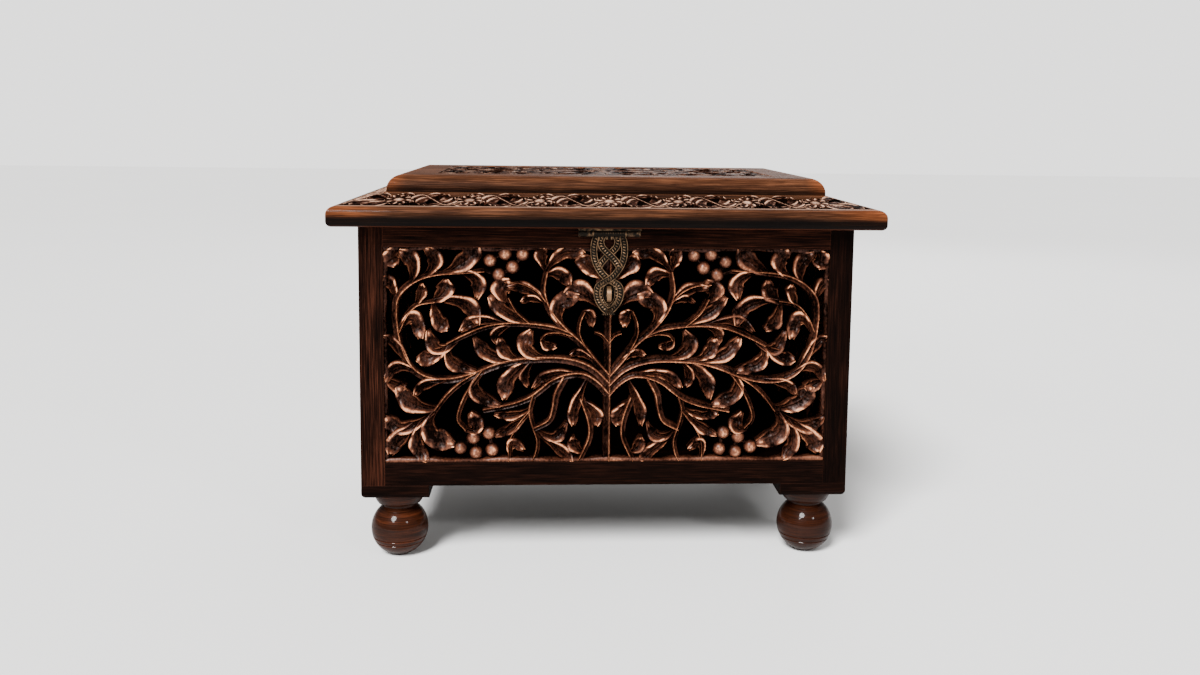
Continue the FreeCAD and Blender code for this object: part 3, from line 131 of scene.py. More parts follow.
# A leaf is its root, the middle of its rib, its tip and its width as a share of the height.
LEAF_SHARES = (
    ((0.28, 0.89), (0.3, 0.95), (0.305, 1), 0.05),
    ((0.282, 0.885), (0.21, 0.965), (0.115, 0.992), 0.055),
    ((0.285, 0.87), (0.225, 0.878), (0.168, 0.848), 0.055),
    ((0.285, 0.745), (0.35, 0.8), (0.45, 0.835), 0.045),
    ((0.45, 0.75), (0.478, 0.795), (0.465, 0.845), 0.07),
    ((0.285, 0.735), (0.335, 0.762), (0.392, 0.76), 0.03),
    ((0.34, 0.642), (0.445, 0.692), (0.548, 0.76), 0.052),
    ((0.46, 0.645), (0.57, 0.66), (0.668, 0.628), 0.045),
    ((0.42, 0.645), (0.49, 0.612), (0.512, 0.57), 0.038),
    ((0.39, 0.474), (0.455, 0.512), (0.5, 0.568), 0.05),
    ((0.41, 0.474), (0.52, 0.502), (0.612, 0.568), 0.055),
    ((0.25, 0.482), (0.352, 0.528), (0.36, 0.606), 0.06),
    ((0.298, 0.585), (0.28, 0.552), (0.238, 0.532), 0.035),
    ((0.05, 0.46), (0.11, 0.503), (0.168, 0.512), 0.03),
    ((0.185, 0.612), (0.218, 0.715), (0.15, 0.785), 0.065),
    ((0.11, 0.7), (0.085, 0.69), (0.06, 0.645), 0.045),
    ((0, 0.7), (0.1, 0.785), (0.182, 0.812), 0.075),
    ((0, 0.84), (0.08, 0.905), (0.135, 0.95), 0.065),
    ((0.86, 0.728), (0.838, 0.775), (0.815, 0.83), 0.04),
    ((0.785, 0.745), (0.742, 0.785), (0.702, 0.838), 0.065),
    ((0.79, 0.752), (0.655, 0.738), (0.572, 0.66), 0.06),
    ((0.785, 0.752), (0.765, 0.675), (0.735, 0.612), 0.055),
    ((0.94, 0.6), (0.878, 0.662), (0.835, 0.596), 0.055),
    ((0.67, 0.57), (0.755, 0.54), (0.81, 0.602), 0.05),
    ((0.7, 0.56), (0.775, 0.502), (0.848, 0.462), 0.055),
    ((0.7, 0.562), (0.695, 0.478), (0.6, 0.412), 0.05),
    ((0.885, 0.832), (0.872, 0.915), (0.91, 0.99), 0.06),
    ((0.94, 1), (0.962, 0.965), (0.97, 0.92), 0.065),
    ((0.835, 0.855), (0.782, 0.925), (0.795, 1), 0.06),
    ((0.735, 0.88), (0.65, 0.93), (0.565, 1), 0.075),
    ((0.68, 0.885), (0.6, 0.852), (0.572, 0.775), 0.055),
    ((0.945, 0.755), (0.965, 0.82), (1, 0.86), 0.045),
    ((0.87, 0.425), (0.935, 0.53), (1, 0.602), 0.04),
    ((0.83, 0.398), (0.93, 0.438), (1, 0.385), 0.045),
    ((1, 0.395), (0.955, 0.362), (0.912, 0.335), 0.05),
    ((0.69, 0.388), (0.8, 0.368), (0.872, 0.328), 0.04),
    ((0.765, 0.25), (0.865, 0.272), (0.955, 0.332), 0.07),
    ((0.77, 0.245), (0.79, 0.145), (0.712, 0.07), 0.075),
    ((0.77, 0.245), (0.9, 0.172), (1, 0.195), 0.055),
    ((0.86, 0.19), (0.935, 0.118), (1, 0.055), 0.07),
    ((0.825, 0.205), (0.855, 0.1), (0.83, 0), 0.055),
    ((0.56, 0.43), (0.582, 0.335), (0.495, 0.255), 0.055),
    ((0.34, 0.475), (0.43, 0.405), (0.485, 0.305), 0.06),
    ((0.33, 0.48), (0.368, 0.418), (0.372, 0.358), 0.04),
    ((0.34, 0.255), (0.42, 0.222), (0.51, 0.212), 0.035),
    ((0.345, 0.235), (0.42, 0.168), (0.498, 0.108), 0.04),
    ((0.43, 0), (0.43, 0.07), (0.385, 0.062), 0.04),
    ((0.65, 0.152), (0.6, 0.162), (0.602, 0.222), 0.055),
    ((0.315, 0.15), (0.24, 0.122), (0.18, 0.168), 0.045),
    ((0.31, 0.125), (0.22, 0.062), (0.145, 0), 0.045),
    ((0.105, 0.04), (0.14, 0.065), (0.17, 0.102), 0.05),
    ((0.11, 0.285), (0.06, 0.235), (0.032, 0.178), 0.05),
    ((0.085, 0.4), (0.138, 0.28), (0.172, 0.172), 0.045),
    ((0.11, 0.408), (0.24, 0.408), (0.345, 0.36), 0.04),
)
BERRY_SHARES = (
    (0.385, 0.968), (0.463, 0.97), (0.53, 0.938), (0.43, 0.908), (0.492, 0.874),
    (0.535, 0.132), (0.605, 0.11), (0.52, 0.052), (0.593, 0.038), (0.663, 0.062),
)
# The swelling of the trunk behind the hasp: half width share and height share from foot to head.
BOSS_SHARES = ((0.05, 0.69), (0.3, 0.74), (0.5, 0.8), (0.44, 0.87), (0.36, 0.93), (0.3, 1))

# Where a ring's points lie across a leaf, a stem and a berry, as shares of the half width.
LEAF_ACROSS_SHARES = (-1, -0.86, -0.66, -0.42, -0.2, 0, 0.2, 0.42, 0.66, 0.86, 1)
LEAF_LIFT_SHARES = (0.5, 0.9, 0.46, 0.28, 0.6, 0.32, 0.4, 0.74, 1, 0.96, 0.55)
LID_LIFT_SHARES = (0.5, 0.85, 0.66, 0.56, 0.76, 0.92, 0.66, 0.56, 0.82, 1, 0.55)
STEM_ACROSS_SHARES = (-1, -0.8, -0.56, -0.3, -0.1, 0.16, 0.45, 0.72, 1)
STEM_LIFT_SHARES = (0.15, 0.72, 1, 0.86, 0.56, 0.48, 0.62, 0.7, 0.15)
BERRY_RADIUS_SHARES = (0.75, 0.85, 1, 0.97, 0.87, 0.7, 0.5, 0.25, 0.06)
BERRY_HEIGHT_SHARES = (0, 0.3, 0.51, 0.63, 0.75, 0.86, 0.935, 0.985, 1)

# One repeat of the lid's border: shares of the way to the next rosette and of the channel's half width.
VINE_SHARES = (
    (0.14, 0.3), (0.24, 0.78), (0.36, 0.72), (0.46, 0.22), (0.54, -0.22), (0.64, -0.72), (0.76, -0.78),
    (0.86, -0.3),
)
BORDER_LEAF_SHARES = (
    ((0.36, 0.7), (0.26, 0.3), (0.2, -0.3), 0.34), ((0.44, 0.3), (0.34, -0.1), (0.3, -0.8), 0.36),
    ((0.38, 0.62), (0.5, 0.84), (0.62, 0.9), 0.28), ((0.64, -0.7), (0.74, -0.3), (0.8, 0.3), 0.34),
    ((0.56, -0.3), (0.66, 0.1), (0.7, 0.8), 0.36), ((0.62, -0.62), (0.5, -0.84), (0.38, -0.9), 0.28),
    ((0.2, 0.6), (0.12, 0.86), (0.02, 0.96), 0.24), ((0.8, -0.6), (0.88, -0.86), (0.98, -0.96), 0.24),
)
PETAL_COUNT = 8

# A quarter of the lid's carved field, as shares of its half width and half depth.
FIELD_STEM_SHARES = (
    (1.2, 0.8, ((0.08, 0), (0.2, 0.16), (0.34, 0.44), (0.5, 0.6), (0.66, 0.52), (0.74, 0.28), (0.66, 0.1),
                (0.56, 0.16), (0.56, 0.32))),
    (1.0, 0.7, ((0.4, 0.53), (0.52, 0.8), (0.7, 0.88), (0.86, 0.76), (0.92, 0.5), (0.88, 0.26))),
    (1.0, 0.7, ((0.16, 0.1), (0.1, 0.38), (0.14, 0.66), (0.26, 0.84), (0.38, 0.82))),
    (0.8, 0.6, ((0.74, 0.28), (0.84, 0.1), (0.96, 0))),
)
FIELD_LEAF_SHARES = (
    ((0.14, 0.08), (0.22, 0.02), (0.32, 0.08), 0.1), ((0.22, 0.2), (0.32, 0.2), (0.4, 0.32), 0.11),
    ((0.3, 0.38), (0.24, 0.5), (0.26, 0.66), 0.1), ((0.42, 0.54), (0.46, 0.4), (0.42, 0.24), 0.11),
    ((0.48, 0.6), (0.42, 0.72), (0.46, 0.92), 0.1), ((0.56, 0.6), (0.62, 0.7), (0.7, 0.74), 0.1),
    ((0.66, 0.52), (0.6, 0.4), (0.62, 0.24), 0.08), ((0.7, 0.46), (0.8, 0.52), (0.84, 0.64), 0.1),
    ((0.74, 0.3), (0.82, 0.36), (0.84, 0.5), 0.08), ((0.56, 0.32), (0.52, 0.44), (0.56, 0.5), 0.08),
    ((0.56, 0.12), (0.48, 0.06), (0.42, 0.14), 0.1), ((0.66, 0.1), (0.74, 0.04), (0.78, 0.14), 0.08),
    ((0.54, 0.82), (0.6, 0.92), (0.72, 0.97), 0.09), ((0.74, 0.88), (0.84, 0.94), (0.96, 0.95), 0.1),
    ((0.86, 0.76), (0.94, 0.8), (0.97, 0.68), 0.09), ((0.92, 0.5), (0.97, 0.4), (0.97, 0.26), 0.08),
    ((0.88, 0.26), (0.92, 0.16), (0.97, 0.12), 0.08), ((0.11, 0.34), (0.04, 0.46), (0.04, 0.62), 0.1),
    ((0.13, 0.6), (0.06, 0.74), (0.08, 0.94), 0.1), ((0.13, 0.42), (0.2, 0.5), (0.2, 0.64), 0.08),
    ((0.24, 0.82), (0.2, 0.92), (0.28, 0.97), 0.09), ((0.38, 0.82), (0.36, 0.92), (0.42, 0.97), 0.08),
    ((0.36, 0.82), (0.34, 0.7), (0.38, 0.62), 0.08), ((0.8, 0.82), (0.78, 0.7), (0.76, 0.64), 0.08),
)
FIELD_BERRY_SHARES = ((0.56, 0.24), (0.31, 0.56), (0.92, 0.88))

# Half of the hasp's braid, as shares of its half width and of its drop below the pin.
OUTER_BAND_SHARES = (
    (0.66, 0.05), (0.78, 0.13), (0.8, 0.25), (0.7, 0.36), (0.44, 0.47), (0.12, 0.55), (-0.28, 0.605),
    (-0.55, 0.655), (-0.62, 0.745), (-0.5, 0.84), (-0.24, 0.92), (-0.1, 0.945),
)
INNER_BAND_SHARES = (
    (0.34, 0.04), (0.44, 0.1), (0.37, 0.175), (0.12, 0.24), (-0.14, 0.295), (-0.4, 0.365), (-0.56, 0.43),
)
SLOT_RING_SHARES = (0, 0.735, 0.4, 0.152)
BRAID_ACROSS_SHARES = (-1, -0.95, -0.74, -0.6, -0.3, 0, 0.3, 0.6, 0.74, 0.95, 1)
BRAID_LIFT_SHARES = (0.5, 0.86, 0.86, 0.25, 0.9, 1, 0.9, 0.25, 0.86, 0.86, 0.5)
BRAID_CUT_SHARES = (0, 0, 0, 0.3, 1, 1, 1, 0.3, 0, 0, 0)

# A leaf: where along it lie its start and end, its hook, its rounded tip, its groove and its fold, how it
# swells, how its edges wander and are nicked, and how far its hollows and its crests are rubbed. The
# crests' rub also paints their highlights.
LEAF_STATIONS = 24
LEAF_SPAN_SHARES = (0.03, 0.98)
PANEL_FULLNESS = 1.28
PANEL_SWELL_SHARES = (0.26, 0, 0.64)
LID_FULLNESS = 1.75
LID_SWELL_SHARES = (0.3, -0.05, 0.45)
BEND = 1.25
HOOK_SHARE = 0.5
HOOK_SPAN_SHARES = (0.6, 1.1)
TIP_ROUND_SHARE = 0.92
TIP_START_SHARE = 0.15
TIP_TONE_SHARE = 0.55
LOBE_SHARE = 0.09
LOBE_COUNT = 2.3
LOBE_TURNS = 17
CUT_COUNT = 4
CUT_SHARE = 0.2
CUT_SLANT_SHARE = 0.5
CUT_TONE = 1.0
ROOT_LIFT_SHARE = 0.6
ROOT_SPAN_SHARES = (0, 0.3)
GROOVE_SHARE = 0.78
GROOVE_WIDTH_SHARE = 0.05
GROOVE_DEPTH_SHARE = 0.6
FOLD_RISE_SHARES = (0.84, 0.91)
FOLD_FALL_SHARES = (0.94, 1)
FOLD_DROP_SHARE = 0.5
FOLD_SIDE_SHARE = 0.35
LEAF_RUB_SHARES = (0.14, 0.98)
LEAF_RUB_POWER = 5
TONE_SHARES = (0.62, 1.12)
TONE_SEED = 5
TINY = 1e-9

# Stems, berries, and the dark undercut edges and backs of all the carving. Crests of stems and berries are
# rubbed brightest, which also paints their highlights, and berries fall darker towards their rims as painted
# shade. A stem whose thickness share is less than the stalk's is a stalk, which lies low and keeps its
# stain.
LEG_STEPS = 6
STEM_HOLLOW_RUB = 0.16
STEM_RUB_POWER = 6
STEM_RUB_SHARE = 0.74
STALK_SHARE = 0.5
STALK_RUB_SHARE = 0.2
BERRY_SIDES = 16
BERRY_RUB_SHARES = (0.56, 1.18)
UNDERCUT_SHARES = (0.99, 0.84, -0.84, -0.99)
STEP_RUB_SHARE = 0.3
BACK_RUB_SHARE = 0.1
FIT_GAP = 0.0001
SHARP_ANGLE = 40
BOTH_WAYS = ((1, 1), (-1, 1))
FOUR_WAYS = ((1, 1), (-1, 1), (1, -1), (-1, -1))

# The lip: its waves' lengths over two pi and their heights, and across it the shares of its width, depth
# and rub. The bottom lip is rubbed brighter than the others, which paints a highlight on it.
LIP_STATIONS = 90
LIP_LONG_WAVE = 0.0105
LIP_SHORT_WAVE = 0.0037
LIP_WAVE_SHARES = (0.6, 0.3)
LIP_RUB_SWING = 0.25
LIP_BOTTOM_RUB_AND_HIGHLIGHT = 0.68
LIP_REST_RUB = 0.25
LIP_FALL_SHARE = 0.5
LIP_ACROSS_SHARES = (0, 0, 0.6, 1, 1)
LIP_HEIGHT_SHARES = (-1, 0, 0, -0.09, -1)
LIP_RUB_SHARES = (0, 0.6, 1, 0.8, 0)

# The trunk's swelling: shares of its half width, and of how far its sides fall away.
BOSS_STATIONS = 24
BOSS_ACROSS_SHARES = (-1, -0.8, -0.4, 0, 0.4, 0.8, 1)
BOSS_FALL_SHARES = (-0.5, -0.12, 0, 0, 0, -0.12, -0.5)
BOSS_RUB = 0.12

# The lid's carving: shares of a rosette's radius, and of the channel's half width. Its leaves go a share
# of their depth into the ground.
BURIED_SHARE = 0.2
VINE_LEG_STEPS = 4
FIELD_LEG_STEPS = 5
PETAL_REACH_SHARES = (0.4, 0.7, 1)
PETAL_WIDTH_SHARE = 0.42
PETAL_TURN = 0.26
BUTTON_SHARE = 0.54
BUTTON_SIDES = 10
HEART_SHARE = 1.6
BORDER_FILL_SHARE = 0.93
SMALL_STATIONS = 6
SMALL_ACROSS_SHARES = (-1, -0.86, -0.3, 0.3, 0.86, 1)
FIELD_STATIONS = 12
FIELD_TONE = 0.74
FIELD_WEAR_SHARE = 0.81
BORDER_TONE = 0.92
FIELD_ACROSS_SHARES = (-1, -0.86, -0.45, 0, 0.45, 0.86, 1)
CORNER_LEAF_SHARES = (
    ((0.5, -0.2), (1.1, -0.75), (1.9, -0.9), 0.36), ((0.5, 0.2), (0.85, 0.7), (1.2, 0.9), 0.34),
    ((0.5, 0), (1.2, -0.1), (1.75, 0.1), 0.38), ((0.9, -0.25), (1.8, -0.4), (2.6, -0.8), 0.36),
)

# The hasp's braid, knuckle and plates.
BRAID_STATIONS = 220
BRAID_SLANT = 2.6
BRAID_CUT_SHARE = 0.85
BRAID_CROSSING_SHARE = 0.3
RING_STATIONS = 96
RING_WIDTH_SHARE = 0.54
RING_CUTS = 24
PLATE_STATIONS = 14
PLATE_FLUTES = 15
PLATE_LIFT_SHARE = 0.6
PLATE_FLUTE_SHARE = 0.4
HASP_HEAD_SHARES = ((0.8, 0.045), (0.8, 0.06), (0.82, 0.085))
HASP_TIP_SHARES = ((0.2, 0.93), (0.24, 0.96), (0.33, 0.985), (0.36, 1))
KNUCKLE_STEPS = 61
KNUCKLE_SIDES = 48
KNUCKLE_CUTS = 7
KNUCKLE_TURNS = 3
KNUCKLE_CUT_SHARE = 0.1
KNUCKLE_END_SHARES = (0.86, 0.94)
KNUCKLE_RUB = 0.8

# Grained wood: marks to a metre, how far they are drawn out along the grain, the detail of their noise,
# their share in the colour, and the stops of the ramps that they drive.
FIBRE_SCALE = 1500
FIBRE_STRETCH = 0.024
FIBRE_DETAIL = 6
FIBRE_SHARE = 0.75
FIGURE_SCALE = 130
FIGURE_STRETCH = 0.12
FIGURE_DETAIL = 3
FIGURE_SWIRL = 0.6
FIGURE_SHARE = 0.35
PORE_SCALE = 2.7
PORE_DETAIL = 2
PORE_STOPS = ((0.34, 0.35), (0.46, 1))
GRAIN_STOPS = (0.42, 0.56, 0.7)
GRAIN_MIDDLE_SHARE = 0.22
GRAIN_ROUGH_STOPS = ((0.3, 0.12), (0.7, -0.06))
GRAIN_SHEEN = 0.015
GRAIN_BUMP_STRENGTH = 0.35
COAT_ROUGHNESS = 0.05

# Roughness and coat of each wood.
FRAME_ROUGHNESS = 0.5
INSIDE_ROUGHNESS = 0.62
FOOT_ROUGHNESS = 0.35
FOOT_COAT = 0.16
LID_ROUGHNESS = 0.4
MOULDING_COAT = 0.06
BOARD_COAT = 0.02

# Worn arrises: how wide they are, where they start and how bright they are.
EDGE_RADIUS = 0.0007
EDGE_SAMPLES = 4
EDGE_STOPS = ((0.84, 0.8), (0.97, 0))
EDGE_PATCHES = 1.6
EDGE_GAIN = 1.8

# Stains, rubbed places and painted light: the lid's edges painted darker below as shade and brighter on top
# as a highlight, a painted reflection of the floor along their lower arris, rubbed corners that also paint
# highlights, and dark faces inside.
# Painted shade at the bottom and painted highlight at the top of the lid's wood, as shares of its colour.
PAINTED_SHADE_LOW = 0.04
PAINTED_HIGHLIGHT_HIGH = 2.3
EDGE_SHADE_SHARES = (0.42, 1.06)
# Height of the painted floor reflection along the mouldings' lower arris.
PAINTED_REFLECTION_LINE = 0.0009
BOARD_STEP_SHARE = 0.25
MOULDING_RUB_REACH = 0.045
BOARD_RUB_REACH = 0.014
# Strength and tint of the rubbed ends, which also paint highlights there.
CORNER_RUB_AND_HIGHLIGHT = 0.85
RUBBED_CORNER_HIGHLIGHT_TINT = (2.9, 2.2, 1.6)
BACK_SKIN = 0.001
INSIDE_SHADE = 0.3

# Carved wood: patches and scratches to a metre, how far they shift the wear, and the ramps' stops.
PATCH_SCALE = 90
PATCH_DETAIL = 3
SCRATCH_SCALE = (700, 700, 500)
SCRATCH_DETAIL = 5
SCRATCH_STRENGTH = 0.3
WEAR_GAIN = 0.85
PANEL_WEAR_STOPS = (0.04, 0.36, 0.72, 1)
LID_WEAR_STOPS = (0.15, 0.4, 0.66, 0.95)
CARVED_ROUGH_STOPS = ((0.3, 0.5), (0.7, 0.32))
CARVED_SHEEN = 0.28
LID_SHEEN = 0.035

# Brass: clouds and scratches to a metre, how far they shift the wear, and the ramps' stops.
CLOUD_SCALE = 220
CLOUD_DETAIL = 5
CLOUD_SWIRL = 0.4
FINE_SCALE = 1400
FINE_DETAIL = 3
FINE_SHARE = 0.3
AGED_STOPS = (0.5, 0.85)
AGED_ROUGH_STOPS = ((0.4, 0.6), (0.9, 0.32))
DULL_SHINE = -0.12
BRIGHT_SHINE = 0.3
BRAID_CLOUD_SCALE = 260
BRAID_CLOUD_DETAIL = 4
BRAID_CLOUD_MIDDLE = 0.5
BRAID_FINE_SCALE = 1500
BRAID_WEAR_GAIN = 0.8
BRAID_STOPS = (0.64, 1)
BRAID_ROUGH_STOPS = ((0.2, 0.65), (0.9, 0.34))
BRASS_METAL = 0.9
BRASS_BUMP_STRENGTH = 0.2

# How deep bumps of all materials are, and the colour sockets of a Mix node, which has others of the same
# names for numbers.
BUMP_DEPTH = 0.0003
MIX_COLOUR_INPUTS = (6, 7)
MIX_COLOUR_OUTPUT = 2

# The camera's sensor in millimetres and its nearest sight, and the floor's faint patches.
SENSOR_WIDTH = 36
NEAREST_SIGHT = 0.01
FLOOR_PATCH_SCALE = 3
FLOOR_PATCH_DETAIL = 4
FLOOR_PATCH_SHADE = 0.985
FLOOR_STOPS = (0.3, 0.7)
FLOOR_ROUGHNESS = 0.7

# Studio lights: name, place, side of the square and power.
STUDIO_LIGHTS = (
    ("left_light", (-0.7, -1.3, 0.9), 0.18, 8),
    ("right_light", (0.8, -1.2, 0.8), 0.15, 5),
    ("back_light", (0.5, 1.6, 1.1), 1.2, 11),
)


def wood_colour(name, description, default):
    """A colour that a user may change."""
    return FloatVectorProperty(
        name=name, description=description, default=default, subtype="COLOR", size=3, min=0, max=1
    )


def length(name, description, default):
    """A length that a user may change."""
    return FloatProperty(name=name, description=description, default=default, min=0, unit="LENGTH")


def angle(name, description, default):
    """An angle that a user may change."""
    return FloatProperty(name=name, description=description, default=default, subtype="ANGLE")


class CHEST_PG_panels(PropertyGroup):
    """Sizes of the pierced panels."""

    crest: length("Crest", "How far ridges stand out of the panel's face", 0.0008)
    hollow: length("Hollow", "How far leaf hollows are cut below the panel's face", 0.0034)
    depth: length("Depth", "Thickness of the carving behind the panel's face", 0.0078)
    stem_width: length("Stem width", "Width of a stem of share one", 0.0047)
    berry_diameter: length("Berry diameter", "Across each berry", 0.0092)
    rim_width: length("Rim width", "Width of the hand-cut lip round the carving", 0.0019)
    rim_wave: length("Rim wave", "How far the lip's edge wanders", 0.0008)
    boss_width: length("Boss width", "Width of the trunk's swelling behind the hasp", 0.017)


class CHEST_PG_lid(PropertyGroup):
    """Sizes of the lid's carving."""

    channel_start: length("Channel start", "From the lid's edge to the carved border", 0.0065)
    channel_end: length("Channel end", "From the lid's edge to the border's inner side", 0.0315)
    edge_radius: length("Edge radius", "From the lid's edge to where the border starts to rise", 0.005)
    slope_end: length("Slope end", "From the lid's edge to the foot of the raised board", 0.033)
    edge_thickness: length("Edge thickness", "Height of the lid's outer edge", 0.013)
    carving_depth: length("Carving depth", "How deep the grounds of the border and the field lie", 0.0022)
    relief_height: length("Relief height", "Height of the plain forms under the carving", 0.00135)
    field_inset: length("Field inset", "From the raised board's edge to its carved field", 0.0295)
    rosette_radius: length("Rosette radius", "From the middle of a rosette to its petals' tips", 0.0086)
    stem_width: length("Stem width", "Width of a stem of share one", 0.0024)
    front_rosettes: IntProperty(name="Front rosettes", description="Along the front and the back", default=7)
    side_rosettes: IntProperty(name="Side rosettes", description="Along each side", default=5)
    front_pitch: length("Front pitch", "Between rosettes at the front and the back", 0.045)
    side_pitch: length("Side pitch", "Between rosettes at the sides", 0.042)


class CHEST_PG_hasp(PropertyGroup):
    """Sizes of the braided hasp."""

    band_width: length("Band width", "Width of each band of the braid", 0.0046)
    thickness: length("Thickness", "Thickness of the plate under the braid", 0.0015)
    stand_off: length("Stand-off", "Gap between the hasp and the frame", 0.0003)
    crest: length("Crest", "How far the braid stands out of the plate", 0.0007)
    weave: length("Weave", "How far a band rises or dips at a crossing", 0.0004)
    twist: length("Twist", "Length of one turn of the rope pattern", 0.0019)
    knuckle_radius: length("Knuckle radius", "Radius of the barrel", 0.0029)
    knuckle_length: length("Knuckle length", "Length of the middle knuckle", 0.022)
    bore_radius: length("Bore radius", "Radius of the knuckle's bore", 0.00125)


class CHEST_PG_finish(PropertyGroup):
    """Colours of the woods and the brass."""

    stain: wood_colour("Stain", "Dark stain left in the recesses", (0.0022, 0.001, 0.0007))
    frame_dark: wood_colour("Frame dark", "Dark grain of the frame", (0.0014, 0.0006, 0.0004))
    frame_light: wood_colour("Frame light", "Light grain of the bright frame pieces", (0.04, 0.0118, 0.0062))
    # Darker light grain for the bottom rails, pads and right posts, painted as shade; the boards inside use
    # it too.
    frame_painted_shade_light: wood_colour("Rail light", "Light grain of the deep frame pieces", (0.011, 0.0034, 0.0019))
    lid_dark: wood_colour("Lid dark", "Dark grain of the lid", (0.013, 0.0046, 0.0022))
    lid_light: wood_colour("Lid light", "Light grain of the lid", (0.07, 0.0262, 0.012))
    foot_dark: wood_colour("Foot dark", "Dark grain of the feet", (0.012, 0.0036, 0.0017))
    foot_light: wood_colour("Foot light", "Light grain of the left feet", (0.046, 0.0118, 0.0046))
    # The right feet are painted darker than the left ones as shade.
    foot_painted_shade_light: wood_colour("Foot deep", "Light grain of the right feet", (0.024, 0.0064, 0.0026))
    mid_brown: wood_colour("Mid brown", "Half rubbed wood of the carving", (0.034, 0.0102, 0.0052))
    copper: wood_colour("Copper", "Rubbed ridges of the carving", (0.125, 0.042, 0.0195))
    tan: wood_colour("Tan", "Most rubbed ridges of the carving", (0.62, 0.255, 0.12))
    # The lid's ridge and crest colours are greyed as a painted sheen of the room on the lacquer.
    lid_ridge_and_sheen: wood_colour("Lid ridge", "Rubbed ridges of the lid's carving", (0.185, 0.104, 0.07))
    lid_crest_and_sheen: wood_colour("Lid crest", "Most rubbed ridges of the lid's carving", (0.5, 0.29, 0.19))
    brass: wood_colour("Brass", "Rubbed brass", (0.185, 0.106, 0.055))
    tarnish: wood_colour("Tarnish", "Tarnish in the brass's hollows", (0.006, 0.0042, 0.0024))


class CHEST_PG_stage(PropertyGroup):
    """Camera, floor and lights."""

    camera_place: FloatVectorProperty(
        name="Camera place", description="Where the camera stands", default=(-0.0358, -0.8216, 0.2912),
        subtype="TRANSLATION", unit="LENGTH",
    )
    yaw: angle("Yaw", "Camera's turn to the right", 0.06)
    pitch: angle("Pitch", "Camera's tilt down", 0.109)
    roll: angle("Roll", "Camera's turn about its own axis", -0.0127)
    lens: FloatProperty(name="Lens", description="Focal length in millimetres", default=33.15, min=1)
    shift: FloatVectorProperty(
        name="Shift", description="Camera shift as shares of the picture's width", size=2,
        default=(-0.0165, -0.0771),
    )
    floor_size: length("Floor size", "Side of the floor", 12)
    floor_colour: wood_colour("Floor colour", "Pale floor", (0.86, 0.855, 0.845))
    sky: FloatProperty(name="Sky", description="Strength of the light from all round", default=0.4, min=0)
    wall: FloatProperty(name="Wall", description="Brightness of the pale wall", default=2.42, min=0)
    sun: FloatProperty(name="Sun", description="Strength of the broad key light", default=9.0, min=0)
    sun_angle: angle("Sun angle", "How broad the key light is", 0.35)
    sun_place: FloatVectorProperty(
        name="Sun place", description="Where the key light comes from", default=(-0.45, -0.9, 1.0),
        subtype="DIRECTION",
    )


def smooth_step(low, high, value):
    """Nought below low, one above high, and an S-shaped cubic between them."""
    share = np.clip((value - low) / (high - low), 0, 1)
    return share * share * (3 - 2 * share)


def smooth_route(points, count):
    """A curve through the points: a cubic on each leg, whose slope at a point is its neighbours' chord's."""
    points = np.asarray(points, float)
    padded = np.vstack([2 * points[0] - points[1], points, 2 * points[-1] - points[-2]])
    where = np.linspace(0, len(points) - 1, count)
    leg = np.minimum(where.astype(int), len(points) - 2)
    share = (where - leg)[:, None]
    before, start, end, after = (padded[leg + step] for step in range(4))
    bend = 2 * before - 5 * start + 4 * end - after
    skew = 3 * start - before - 3 * end + after
    return 0.5 * (2 * start + (end - before) * share + bend * share ** 2 + skew * share ** 3)


def left_of(ahead):
    """Unit vectors a quarter turn to the left of flat ones."""
    across = np.stack([-ahead[..., 1], ahead[..., 0]], -1)
    return across / np.linalg.norm(across, axis=-1, keepdims=True)


def side_ways(route):
    """Unit vectors to the left of each flat route at each of its points."""
    return left_of(np.gradient(route, axis=-2))


